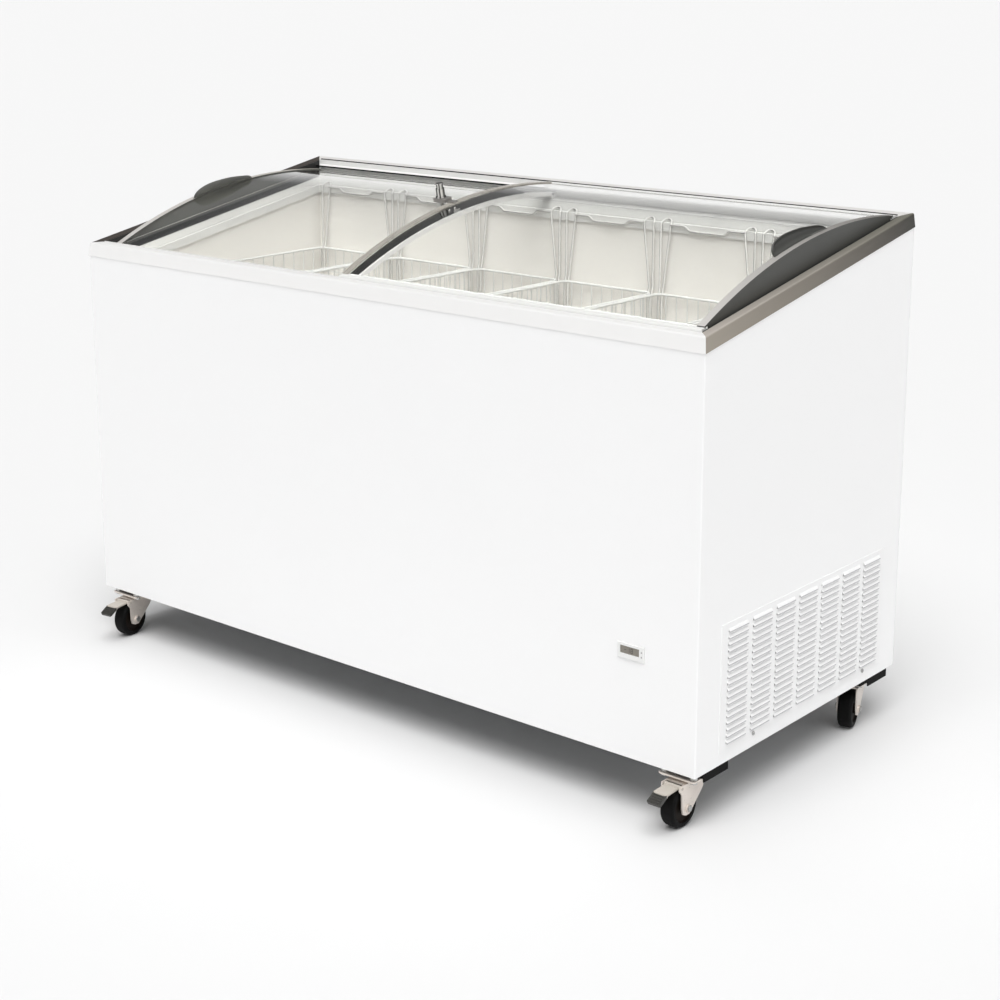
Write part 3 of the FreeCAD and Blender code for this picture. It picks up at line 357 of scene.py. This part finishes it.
def rail_with_painted_light(name, face_front, face_rear, top_front, top_rear):
    """Anodised side rail with painted light: its top is painted paler than its face as a painted
    sheen, and both darken to the rear as painted shade.
    """
    material, nodes, links, shader = new_material(name)
    # faces that look up take the paler top colour, a painted sheen
    upward = map_range(nodes, links, one_axis(nodes, links, face_normal(nodes), "Z"), (0.15, 0.85))
    rearward = along_depth(nodes, links)
    # painted shade that deepens towards the rear
    face = blend_colours(nodes, links, rearward, face_front, face_rear)
    top = blend_colours(nodes, links, rearward, top_front, top_rear)
    links.new(blend_colours(nodes, links, upward, face, top), shader.inputs["Base Color"])
    fine_finish(nodes, links, shader, noise(nodes, links, 900.0, (1, 0.02, 0.02)), 0.38, 0.48)
    shader.inputs["Metallic"].default_value = 0.2
    return material


LOUVRE_LIP_TURN = 0.20          # louvre lips look up less than this, and take the painted shadow


def louvres_with_painted_shadow(name, colour, shadow, past):
    """Panel paint with a painted shadow on the louvre lips: past a distance from the centre, faces
    that don't look up take the shadow's colour."""
    material, nodes, links, shader = new_material(name)
    place = one_axis(nodes, links, placed(nodes), "X")
    upward = one_axis(nodes, links, face_normal(nodes), "Z")
    lip_shadow_mask = both_of(nodes, links, compare(nodes, links, "GREATER_THAN", place, past),
                     compare(nodes, links, "LESS_THAN", upward, LOUVRE_LIP_TURN))
    ground = uneven_colour(nodes, links, colour, 0.985, 6.0)
    links.new(blend_colours(nodes, links, lip_shadow_mask, ground, shadow), shader.inputs["Base Color"])
    shader.inputs["Roughness"].default_value = 0.40
    return material


def two_zones(name, near, far, centre, reach, rough, ior=1.5):
    """One finish within reach of a centre and another beyond it, for hubs and pedal arms."""
    material, nodes, links, shader = new_material(name)
    distance = vector_math(nodes, links, "DISTANCE", placed(nodes), centre)
    beyond = compare(nodes, links, "GREATER_THAN", distance, reach)
    links.new(blend_colours(nodes, links, beyond, near, far), shader.inputs["Base Color"])
    shader.inputs["IOR"].default_value = ior
    fine_finish(nodes, links, shader, noise(nodes, links, 900.0), rough - 0.08, rough + 0.08, 0.2)
    return material


def add_stops(ramp, stops):
    """Gives a new colour ramp its stops, each (place, colour)."""
    for at, colour in stops[1:-1]:
        ramp.elements.new(at)
    for element, (at, colour) in zip(ramp.elements, stops):
        element.position = at
        element.color = (*colour, 1.0)


# the fixed direction that sets where the painted reflection streaks fall
PAINTED_STREAK_AXIS = (0.77, 0.64, 0.0)


def streaked_with_painted_reflections(name, tones, rough, metal):
    """Bright plating with painted reflections: upright light and dark streaks set by which way
    each face looks; tones are (place across the piece, brightness).
    """
    material, nodes, links, shader = new_material(name)
    across = vector_math(nodes, links, "DOT_PRODUCT", face_normal(nodes), PAINTED_STREAK_AXIS)
    ramp = nodes.new("ShaderNodeValToRGB")
    add_stops(ramp.color_ramp, [(at, (tone, tone * 0.985, tone * 0.95)) for at, tone in tones])
    links.new(map_range(nodes, links, across, (-1.0, 1.0)), ramp.inputs["Fac"])
    links.new(ramp.outputs["Color"], shader.inputs["Base Color"])
    fine_finish(nodes, links, shader, noise(nodes, links, 700.0), rough - 0.04, rough + 0.04)
    shader.inputs["Metallic"].default_value = metal
    return material


def clear_glass(name):
    """Toughened glass that lets the lamps' light through to what is behind it."""
    material, nodes, links, shader = new_material(name)
    shader.inputs["Base Color"].default_value = (0.985, 0.99, 0.985, 1.0)
    shader.inputs["Transmission Weight"].default_value = 1.0
    shader.inputs["Roughness"].default_value = 0.0
    shader.inputs["IOR"].default_value = 1.45
    clear = nodes.new("ShaderNodeBsdfTransparent")
    clear.inputs["Color"].default_value = (0.96, 0.965, 0.955, 1.0)
    path = nodes.new("ShaderNodeLightPath")
    mix = nodes.new("ShaderNodeMixShader")
    links.new(path.outputs["Is Shadow Ray"], mix.inputs["Fac"])
    links.new(shader.outputs["BSDF"], mix.inputs[1])
    links.new(clear.outputs["BSDF"], mix.inputs[2])
    links.new(mix.outputs["Shader"], nodes["Material Output"].inputs["Surface"])
    return material


DARK_PLASTIC = (0.058, 0.059, 0.054)
# the lower lid's handle and gable take this paler copy of the lids' dark plastic: painted light
GREY_PLASTIC = (0.118, 0.120, 0.108)
# painted sheen on the gables' upward-looking flanges, at their front end
FLANGE_PAINTED_SHEEN = (0.55, 0.53, 0.51)
BLACK_RUBBER = (0.004, 0.004, 0.004)
LOUVRES_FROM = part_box("grille_panel")[1].x - 0.0012     # in X, just outside the flat panel

white_steel = surface("white_steel", (0.95, 0.95, 0.95), 0.34, shade=0.99, grain=0.03,
                      grain_scale=500.0, coat=0.15, vary_scale=1.5)
# the second colour is the painted shadow on the louvre lips
grille_white = louvres_with_painted_shadow("grille_white", (0.93, 0.93, 0.93), (0.50, 0.50, 0.51), LOUVRES_FROM)
rear_steel = surface("rear_steel", (0.88, 0.885, 0.88), 0.36, shade=0.96, grain=0.12)
galvanised = surface("galvanised", (0.55, 0.56, 0.57), 0.42, metal=1.0, shade=0.72, grain=0.15,
                     vary_scale=55.0)
foam = surface("foam", (0.86, 0.78, 0.50), 0.90, shade=0.85, grain=0.8, grain_scale=350.0)
liner_white = surface("liner_white", (0.95, 0.925, 0.88), 0.40, shade=0.975, grain=0.18,
                      grain_scale=260.0, vary_scale=2.5)
collar_white = surface("collar_white", (0.86, 0.855, 0.83), 0.34, shade=0.96, grain=0.08)
drain_grey = surface("drain_grey", (0.40, 0.40, 0.40), 0.5, grain=0.2)
rail_front = surface("rail_front", (0.90, 0.895, 0.885), 0.34, metal=0.15, shade=0.99,
                     grain=0.015, grain_scale=2500.0, stretch=(0.02, 1, 1), rough_spread=0.03)
# the rear rail takes a darker copy of the front rail's colour: painted shade
rail_rear = surface("rail_rear", (0.74, 0.725, 0.705), 0.34, metal=0.15, shade=0.98, grain=0.015,
                    grain_scale=2500.0, stretch=(0.02, 1, 1), rough_spread=0.03)
# the far left rail is painted near black: painted shade on the same kind of rail as the right one
rail_far_painted_shade = surface("rail_far_painted_shade", (0.055, 0.045, 0.038), 0.45, metal=0.2, shade=0.8, grain=0.08,
                   grain_scale=900.0, stretch=(1, 0.02, 0.02))
# the right rail's tones are painted light: its face from front to rear, then its paler top from
# front to rear
rail_side = rail_with_painted_light("rail_side", (0.34, 0.305, 0.255), (0.022, 0.020, 0.014),
                        (0.50, 0.455, 0.41), (0.16, 0.155, 0.125))
track_light = surface("track_light", (0.82, 0.815, 0.80), 0.34, shade=0.96, grain=0.05,
                      grain_scale=900.0, stretch=(0.02, 1, 1))
trim_black = surface("trim_black", (0.02, 0.02, 0.02), 0.35, grain=0.15)
screw_steel = surface("screw_steel", (0.55, 0.55, 0.54), 0.28, metal=1.0, shade=0.8, grain=0.1)
bezel_white = surface("bezel_white", (0.86, 0.86, 0.85), 0.30, shade=0.97, grain=0.12)
display_grey = surface("display_grey", (0.22, 0.20, 0.165), 0.20, shade=0.85, coat=0.5)
digit_dark = surface("digit_dark", (0.012, 0.012, 0.01), 0.4, grain=0.05)
compressor_black = surface("compressor_black", (0.02, 0.02, 0.022), 0.30, coat=0.4, grain=0.15)
mount_rubber = surface("mount_rubber", BLACK_RUBBER, 0.65, grain=0.4, ior=1.2)
coil_metal = surface("coil_metal", (0.45, 0.45, 0.43), 0.40, metal=1.0, shade=0.75, grain=0.2)
fan_grey = surface("fan_grey", (0.10, 0.10, 0.105), 0.45, grain=0.2)
copper = surface("copper", (0.75, 0.36, 0.22), 0.30, metal=1.0, shade=0.7, grain=0.1)
lid_glass = clear_glass("lid_glass")
slider_light = surface("slider_light", (0.80, 0.80, 0.78), 0.35, shade=0.94, grain=0.08)
lid_dark = surface("lid_dark", DARK_PLASTIC, 0.42, shade=0.86, grain=0.35, grain_scale=1500.0)
lid_grey = surface("lid_grey", GREY_PLASTIC, 0.42, shade=0.86, grain=0.35, grain_scale=1500.0)
# each gable's flange fades from the painted sheen to the given painted shade colour at the rear
upper_gable = plate_and_flange_sheen("upper_gable", DARK_PLASTIC, FLANGE_PAINTED_SHEEN, (0.09, 0.08, 0.07),
                               0.0)
lower_gable = plate_and_flange_sheen("lower_gable", GREY_PLASTIC, FLANGE_PAINTED_SHEEN, (0.40, 0.38, 0.33),
                               LID_DROP)
strip_bronze = surface("strip_bronze", (0.50, 0.47, 0.42), 0.28, metal=0.3, shade=0.93,
                       grain=0.08, stretch=(1, 0.03, 0.03))
strip_pale = surface("strip_pale", (0.90, 0.89, 0.87), 0.30, shade=0.97, grain=0.08)
seal_black = surface("seal_black", (0.006, 0.006, 0.005), 0.55, grain=0.2, ior=1.25)
lock_dark = surface("lock_dark", (0.34, 0.325, 0.31), 0.32, metal=0.6, shade=0.8, grain=0.15)
# the lock's chrome with painted reflection streaks
lock_chrome = streaked_with_painted_reflections("lock_chrome", ((0.0, 0.06), (0.14, 0.06), (0.20, 0.95), (0.34, 0.90),
                                     (0.40, 0.07), (0.50, 0.09), (0.56, 0.95), (0.74, 0.80),
                                     (0.82, 0.22), (1.0, 0.10)), 0.16, 0.6)
caster_zinc = surface("caster_zinc", (0.80, 0.73, 0.67), 0.33, metal=0.35, shade=0.88, grain=0.10,
                      grain_scale=300.0, vary_scale=30.0)
# the hook wires get a painted highlight down their middle and painted shade along their sides
hook_wire = streaked_with_painted_reflections("hook_wire", ((0.0, 0.22), (0.16, 0.26), (0.28, 0.88), (0.78, 0.88),
                                 (0.88, 0.30), (1.0, 0.22)), 0.28, 0.1)
basket_wire = surface("basket_wire", (0.76, 0.76, 0.74), 0.30, shade=0.94, grain=0.1,
                      vary_scale=20.0)


def paint(material, *nodes):
    """Gives one material to nodes of the part."""
    for node in nodes:
        slots = frame["nodes"][node].data.materials
        slots.clear()
        slots.append(material)


paint(white_steel, "outer_shell")
paint(rear_steel, "rear_panel")
paint(grille_white, "grille_panel")
paint(galvanised, "base_pan")
paint(foam, "insulation_foam")
paint(liner_white, "inner_liner")
paint(collar_white, "liner_collar")
paint(drain_grey, "drain_plug")
paint(rail_front, "front_rail")
paint(rail_rear, "rear_rail")
paint(rail_side, "right_rail")
paint(rail_far_painted_shade, "left_rail")
paint(track_light, "front_track", "rear_track")
paint(trim_black, "side_trims")
paint(screw_steel, "panel_screws", "caster_bolts")
paint(bezel_white, "thermometer_bezel")
paint(display_grey, "thermometer_display")
paint(compressor_black, "compressor", "relay_box", "condenser_fan_housing")
paint(mount_rubber, "compressor_mounts", "cord_inlet", "corner_skids")
paint(coil_metal, "condenser_coil")
paint(fan_grey, "fan_blade")
paint(copper, "filter_drier")
paint(lid_glass, "upper_lid_glass", "lower_lid_glass")
paint(slider_light, "upper_lid_sliders", "lower_lid_sliders")
paint(lid_dark, "upper_lid_handle")
paint(lid_grey, "lower_lid_handle")
paint(upper_gable, "upper_lid_gable")
paint(lower_gable, "lower_lid_gable")
paint(strip_bronze, "upper_lid_strip")
paint(strip_pale, "lower_lid_strip")
paint(seal_black, "upper_lid_seal")
paint(lock_dark, "lock_bracket", "lock_keeper")
paint(lock_chrome, "lock_barrel", "lock_plunger")
paint(caster_zinc, "caster_plates")

JOINTS = {joint["name"]: joint for joint in frame["joints"]}
CORNERS = ("front_right", "front_left", "rear_right", "rear_left")
HUB_REACH = 0.0305              # the hub's radius, from the wheel's centre
PAD_FROM = 0.040                # where a pedal's dark pad starts, from its pin
for corner in CORNERS:
    paint(caster_zinc, f"{corner}_fork")
    axle = Vector(JOINTS[f"{corner}_wheel_roll"]["pos_m"])
    paint(two_zones(f"{corner}_wheel_black", (0.012, 0.008, 0.006), BLACK_RUBBER, axle,
                    HUB_REACH, 0.55, 1.2), f"{corner}_wheel")
for corner in CORNERS[:2]:
    pin = Vector(JOINTS[f"{corner}_pedal_lift"]["pos_m"])
    paint(two_zones(f"{corner}_pedal_metal", (0.50, 0.46, 0.41), (0.035, 0.034, 0.03), pin,
                    PAD_FROM, 0.36), f"{corner}_brake_pedal")

for node in frame["nodes"].values():
    node.data.shade_smooth()
    node.data.set_sharp_from_angle(angle=NODE_CREASE)


# ---- wire baskets ---------------------------------------------------------------------------
RIM_WIRE = 0.0028               # each wire's radius
LEVEL_WIRE = 0.0016
MESH_WIRE = 0.00125
HOOK_WIRE = 0.0021
GRIP_WIRE = HOOK_WIRE * 0.9
BASKET_HALF_X = 0.1125
BASKET_HALF_Y = 0.2800
BASKET_RIM = 0.7800             # heights of the rim and the bottom
BASKET_LOW = 0.5650
WIRE_CORNER = 0.012             # bends of the mesh and lifting wires
LOOP_CORNER = 0.018             # bends of the rim and the loops round the basket
WALL_WIRES = 17                 # wires over the two long walls, and over the two short ones
END_WIRES = 8
LEVELS = (0.25, 0.5, 0.75)      # of the loops, from the bottom to the rim

HALF_PITCH = 0.120              # half the distance between two baskets' centres
OUTER_LEG = HALF_PITCH - 0.009  # a hanger's legs in X, from the basket's centre
INNER_LEG_LOW = HALF_PITCH - 0.017
INNER_LEG_HIGH = HALF_PITCH - 0.033
LEG_FOOT = BASKET_RIM - 0.055
LEG_LEAVES = BASKET_RIM - 0.004     # where a leg bends away from the wall
LEG_UPRIGHT = BASKET_RIM + 0.012    # and where it stands upright again
LEG_BEND = 0.004
HOOK_Y = HALF_DEPTH - 0.0578    # upright legs, the collar's lip, and the channel behind it
LIP_Y = HALF_DEPTH - 0.053
CHANNEL_Y = HALF_DEPTH - 0.0482
LIP_TOP = -0.0505               # from the sloping top plane
LIP_CLEAR = 0.0012
ARCH_FOOT = 0.006               # below the wire's lowest place over the lip
ARCH_TALL = 0.0092
ARCH_STEPS = 12
GRIP_HALF = HALF_PITCH - 0.032
GRIP_BELOW = 0.007              # of the lifting wire, below the hangers' arches
GRIP_DIP = 0.009
GRIP_SHOULDERS = (0.052, 0.040)     # where its dip starts, and where the dip is level


def add_u_wires(bm, centre, along_x, count, half, across, low, high):
    """Wires that run down one wall, across the bottom and up the other wall. They are spaced
    over half to each side, and the walls stand that far across."""
    for k in range(count):
        s = half * (2 * (k + 0.5) / count - 1)
        shape = [(-across, high), (-across, low), (across, low), (across, high)]
        if along_x:
            run = [(centre + a, CENTRE_Y + s, z) for a, z in shape]
        else:
            run = [(centre + s, CENTRE_Y + a, z) for a, z in shape]
        add_tube(bm, bent(run, WIRE_CORNER), MESH_WIRE, 6)


def add_loop(bm, centre, z, half_x, half_y, wire):
    """A closed loop round the basket at one height."""
    points = []
    for sx, sy, start in ((1, 1, 0), (-1, 1, 90), (-1, -1, 180), (1, -1, 270)):
        for i in range(5):
            a = math.radians(start + 22.5 * i)
            points.append((centre + sx * (half_x - LOOP_CORNER) + LOOP_CORNER * math.cos(a),
                           CENTRE_Y + sy * (half_y - LOOP_CORNER) + LOOP_CORNER * math.sin(a), z))
    add_tube(bm, points, wire, 8, closed=True)


def lip_height(way):
    """Where the middle of a hanger's wire rests over the collar's lip, at the front or rear."""
    return top_z(way * LIP_Y, LIP_TOP) + HOOK_WIRE + LIP_CLEAR


def add_hanger(bm, centre, side, way):
    """One looped hanger: up from the rim and over the collar's lip, ending in a round arch."""
    y, over = way * HOOK_Y, way * CHANNEL_Y
    wall = way * (BASKET_HALF_Y - 0.0005)
    arch_foot = lip_height(way) - ARCH_FOOT
    middle = (OUTER_LEG + INNER_LEG_HIGH) / 2
    half = (OUTER_LEG - INNER_LEG_HIGH) / 2

    def at(offset, where, z):
        return (centre + side * offset, CENTRE_Y + where, z)

    def leg(low, high):
        return [at(low, wall, LEG_FOOT), at(low, wall, LEG_LEAVES), at(low, y, LEG_UPRIGHT),
                at(high, y, arch_foot)]

    arch = []
    for k in range(1, ARCH_STEPS):
        a = math.pi * k / ARCH_STEPS
        rise = math.sin(a)
        arch.append(at(middle + half * math.cos(a), y + (over - y) * rise,
                       arch_foot + ARCH_TALL * rise))
    up = bent(leg(OUTER_LEG, OUTER_LEG), LEG_BEND, 3)
    down = bent(leg(INNER_LEG_LOW, INNER_LEG_HIGH)[::-1], LEG_BEND, 3)
    add_tube(bm, up + arch + down, HOOK_WIRE, 8)


def add_grip(bm, centre, way):
    """The lifting wire between a short wall's two hangers, with a shallow dip in its middle."""
    y = CENTRE_Y + way * (HOOK_Y - 0.0005)
    level = lip_height(way) - GRIP_BELOW
    starts, flat = GRIP_SHOULDERS
    half_run = [(GRIP_HALF, level), (starts, level), (flat, level - GRIP_DIP)]
    run = [(centre - x, y, z) for x, z in half_run]
    run += [(centre + x, y, z) for x, z in half_run[::-1]]
    add_tube(bm, bent(run, WIRE_CORNER), GRIP_WIRE, 8)


def wire_basket(name, centre):
    """One basket in place of its node: mesh, rim, loops, four hangers and two lifting wires."""
    bm = bmesh.new()
    low, rim = BASKET_LOW, BASKET_RIM
    add_u_wires(bm, centre, True, WALL_WIRES, BASKET_HALF_Y - 0.012, BASKET_HALF_X, low, rim)
    add_u_wires(bm, centre, False, END_WIRES, BASKET_HALF_X - 0.008, BASKET_HALF_Y - 0.0015,
                low + 2 * MESH_WIRE, rim)
    add_loop(bm, centre, rim, BASKET_HALF_X + 0.001, BASKET_HALF_Y + 0.0005, RIM_WIRE)
    for share in LEVELS:
        add_loop(bm, centre, low + (rim - low) * share, BASKET_HALF_X + 0.002, BASKET_HALF_Y,
                 LEVEL_WIRE)
    mesh_faces = len(bm.faces)
    for way in (-1, 1):
        for side in (-1, 1):
            add_hanger(bm, centre, side, way)
        add_grip(bm, centre, way)
    bm.faces.ensure_lookup_table()
    for wire_face in bm.faces[mesh_faces:]:
        wire_face.material_index = 1
    piece = finish_piece(bm, f"{name}_wire", name, basket_wire)
    piece.data.materials.append(hook_wire)
    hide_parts(name)


for basket in BASKET_NAMES:
    box_low, box_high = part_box(basket)
    wire_basket(basket, (box_low.x + box_high.x) / 2)


# ---- thermometer's digits -------------------------------------------------------------------
SEGMENTS = {"-": "g", "1": "bc", "8": "abcdefg"}
DIGIT_TALL = 0.0082
DIGIT_WIDE = 0.0046
DIGIT_GAP = 0.0022
DIGITS_FROM = 0.008             # from the display's left edge
DIGIT_DEEP = 0.00012
DIGIT_OFF = 0.00005             # off the display's face
STROKE = 0.0010
BUTTON = (0.0016, 0.0009)       # radius and height


def add_digit(bm, sign, x, z, y):
    """One seven-segment digit, with its lower left corner at (x, z)."""
    mid, top = z + DIGIT_TALL / 2, z + DIGIT_TALL
    right = x + DIGIT_WIDE
    bars = {
        "a": (x, top - STROKE, right, top), "d": (x, z, right, z + STROKE),
        "g": (x, mid - STROKE / 2, right, mid + STROKE / 2),
        "b": (right - STROKE, mid, right, top), "c": (right - STROKE, z, right, mid),
        "f": (x, mid, x + STROKE, top), "e": (x, z, x + STROKE, mid),
    }
    for segment in SEGMENTS[sign]:
        x0, z0, x1, z1 = bars[segment]
        gap = STROKE * 0.12
        add_block(bm, (x0 + gap, y - DIGIT_DEEP, z0 + gap), (x1 - gap, y, z1 - gap))


def thermometer_digits():
    """A plain -18 on the display."""
    low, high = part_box("thermometer_display")
    bm = bmesh.new()
    z = (low.z + high.z - DIGIT_TALL) / 2
    x = low.x + DIGITS_FROM
    for k, sign in enumerate("-18"):
        add_digit(bm, sign, x + k * (DIGIT_WIDE + DIGIT_GAP), z, low.y - DIGIT_OFF)
    finish_piece(bm, "thermometer_digits", "cabinet", digit_dark, smooth=False)


def thermometer_buttons():
    """Two small set buttons beside the display."""
    low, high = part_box("thermometer_bezel")
    display_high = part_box("thermometer_display")[1]
    bm = bmesh.new()
    x = (high.x + display_high.x) / 2
    for share in (0.36, 0.66):
        z = low.z + (high.z - low.z) * share
        add_head(bm, (x, low.y + 0.0003, z), (0, -1, 0), *BUTTON)
    finish_piece(bm, "thermometer_buttons", "cabinet", drain_grey)


thermometer_digits()
thermometer_buttons()


# ---- small fittings -------------------------------------------------------------------------
RIVET = (0.0034, 0.0016)        # each head's radius and height
PANEL_SCREW = (0.0042, 0.0019)
RIVETS_BELOW = 0.0125           # below the lid's curved top
RIVETS_AT = (-0.012, 0.004)     # in Y, from the lock's middle
NUT_RADIUS = 0.0062
NUT_TALL = 0.0020
NUT_FROM = 0.0230               # from the wheel's centre, along its axle


def lock_rivets():
    """Two bright rivets on each side of the lid's seal, which hold the lock's bracket."""
    low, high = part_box("upper_lid_seal")
    lock_low, lock_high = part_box("lock_barrel")
    bm = bmesh.new()
    middle = (lock_low.y + lock_high.y) / 2 - CENTRE_Y
    for step in RIVETS_AT:
        y, z = lid_point((middle + step) / math.cos(TILT), -RIVETS_BELOW)
        for x, way in ((high.x, 1), (low.x, -1)):
            add_head(bm, (x, y, z), (way, 0, 0), *RIVET)
    finish_piece(bm, "lock_rivets", "upper_lid", lock_chrome)


def rear_screws():
    """Screws round the rear panel's edge: rows along its foot and top, and columns between."""
    low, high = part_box("rear_panel")
    bm = bmesh.new()
    side, foot, top = 0.02, low.z + 0.015, high.z - 0.018
    columns = [low.x + side + k * (high.x - low.x - 2 * side) / 6 for k in range(7)]
    places = [(x, z) for x in columns for z in (foot, top)]
    places += [(x, foot + k * (top - foot) / 4)
               for k in range(1, 4) for x in (columns[0], columns[-1])]
    for x, z in places:
        add_head(bm, (x, high.y, z), (0, 1, 0), *PANEL_SCREW)
    finish_piece(bm, "rear_panel_screws", "cabinet", screw_steel)


def axle_nuts():
    """A hexagon nut on both sides of each fork."""
    for corner in CORNERS:
        joint = JOINTS[f"{corner}_wheel_roll"]
        axle = Vector(joint["pos_m"])
        way = Vector(joint["axis"]).normalized()
        up = Vector((0, 0, 1))
        side = way.cross(up)
        bm = bmesh.new()
        for sign in (-1, 1):
            at = axle + way * sign * NUT_FROM
            ring = [at + (side * math.cos(a) + up * math.sin(a)) * NUT_RADIUS
                    for a in [math.pi * k / 3 for k in range(6)]]
            add_prism(bm, ring, way * sign * NUT_TALL)
        finish_piece(bm, f"{corner}_axle_nuts", f"{corner}_swivel", screw_steel,
                     bevel=0.0005)


# (from X, to X, Y from the centre line, height over the sloping top, width, height of section)
# dark strips that stand for shadow: painted shadow lines along the rear track
RAIL_SHADOW_STRIP = (-0.752, 0.752, HALF_DEPTH - 0.0216, -0.0022, 0.0040, 0.0016)
LEDGE_SHADOW_STRIP = (-0.752, -0.068, HALF_DEPTH - 0.0372, -0.0142, 0.0013, 0.0031)
SHADOW_STRIP_TIP = 0.0008             # a shadow strip's sloping front edge


def rear_shadow_strips():
    """Thin dark strips along the rear rail's inner edge and on the lip of the upper ledge: painted
    shadow lines for the gap beside the rail and the shade under the ledge's lip.
    """
    bm = bmesh.new()
    for x0, x1, y, h, wide, tall in (RAIL_SHADOW_STRIP, LEDGE_SHADOW_STRIP):
        outline = [(x0, CENTRE_Y + y + dy, top_z(y + dy, h + dz)) for dy, dz in
                   ((0, 0), (wide, 0), (wide, tall), (SHADOW_STRIP_TIP, tall), (0, tall * 0.6))]
        add_prism(bm, outline, (x1 - x0, 0, 0))
    finish_piece(bm, "rear_shadow_strips", "cabinet", seal_black)


lock_rivets()
rear_screws()
axle_nuts()
rear_shadow_strips()


# ---- camera, light and floor ----------------------------------------------------------------
CAMERA_AT = (2.4094, CENTRE_Y - 2.8043, 1.4569)
CAMERA_TURN = 39.90
CAMERA_DIP = 12.83
CAMERA_SHIFT = -0.12
CAMERA_LENS = 67.81
HORIZON_LIGHT = 0.947
HIGH_LIGHT = 0.20
ZENITH_LIGHT = 1.70
# how bright the studio is at each height, from the horizon (0) to the zenith (1)
STUDIO_LIGHT = ((0.0, HORIZON_LIGHT), (0.10, HORIZON_LIGHT), (0.26, HIGH_LIGHT),
                (0.84, HIGH_LIGHT), (0.93, ZENITH_LIGHT), (1.0, ZENITH_LIGHT))
FLOOR_HALF = 150.0
FLOOR_TONE = (0.77, 0.77, 0.77)


def make_camera():
    """The main view, from the front and right, with a small vertical shift."""
    data = bpy.data.cameras.new("camera")
    data.lens = CAMERA_LENS
    data.sensor_width = 36.0
    data.shift_y = CAMERA_SHIFT
    camera = bpy.data.objects.new("camera", data)
    camera.location = CAMERA_AT
    camera.rotation_euler = (math.radians(90 - CAMERA_DIP), 0, math.radians(CAMERA_TURN))
    bpy.context.scene.collection.objects.link(camera)
    bpy.context.scene.camera = camera


def sun(name, azimuth, elevation, strength, spread_deg):
    """A broad sun that shines from an azimuth (0 is the front, 90 the right) and an elevation."""
    data = bpy.data.lights.new(name, "SUN")
    data.energy = strength
    data.angle = math.radians(spread_deg)
    lamp = bpy.data.objects.new(name, data)
    a, e = math.radians(azimuth), math.radians(elevation)
    source = Vector((math.sin(a) * math.cos(e), -math.cos(a) * math.cos(e), math.sin(e)))
    lamp.rotation_euler = source.to_track_quat("Z", "Y").to_euler()
    bpy.context.scene.collection.objects.link(lamp)


def make_floor():
    """A pale floor that belongs to the stage."""
    bm = bmesh.new()
    bm.faces.new([bm.verts.new((x * FLOOR_HALF, y * FLOOR_HALF, 0))
                  for x, y in ((-1, -1), (1, -1), (1, 1), (-1, 1))])
    mesh = bpy.data.meshes.new("floor")
    bm.to_mesh(mesh)
    bm.free()
    floor = bpy.data.objects.new("floor", mesh)
    bpy.context.scene.collection.objects.link(floor)
    mesh.materials.append(surface("floor_pale", FLOOR_TONE, 0.9, shade=0.998, ior=1.0))


def make_world():
    """A studio that is pale at the horizon, dim higher up and bright overhead."""
    world = bpy.data.worlds.new("studio")
    bpy.context.scene.world = world
    world.use_nodes = True
    nodes, links = world.node_tree.nodes, world.node_tree.links
    sky = nodes["Background"]
    sky_place = nodes.new("ShaderNodeTexCoord").outputs["Generated"]
    ramp = nodes.new("ShaderNodeValToRGB")
    links.new(one_axis(nodes, links, sky_place, "Z"), ramp.inputs["Fac"])
    links.new(ramp.outputs["Color"], sky.inputs["Color"])
    add_stops(ramp.color_ramp, [(at, (level,) * 3) for at, level in STUDIO_LIGHT])


make_camera()
make_floor()
make_world()
sun("key", azimuth=30.0, elevation=63.0, strength=2.15, spread_deg=45.0)
sun("side_fill", azimuth=95.0, elevation=35.0, strength=0.30, spread_deg=60.0)
bpy.context.scene.view_settings.view_transform = "Standard"
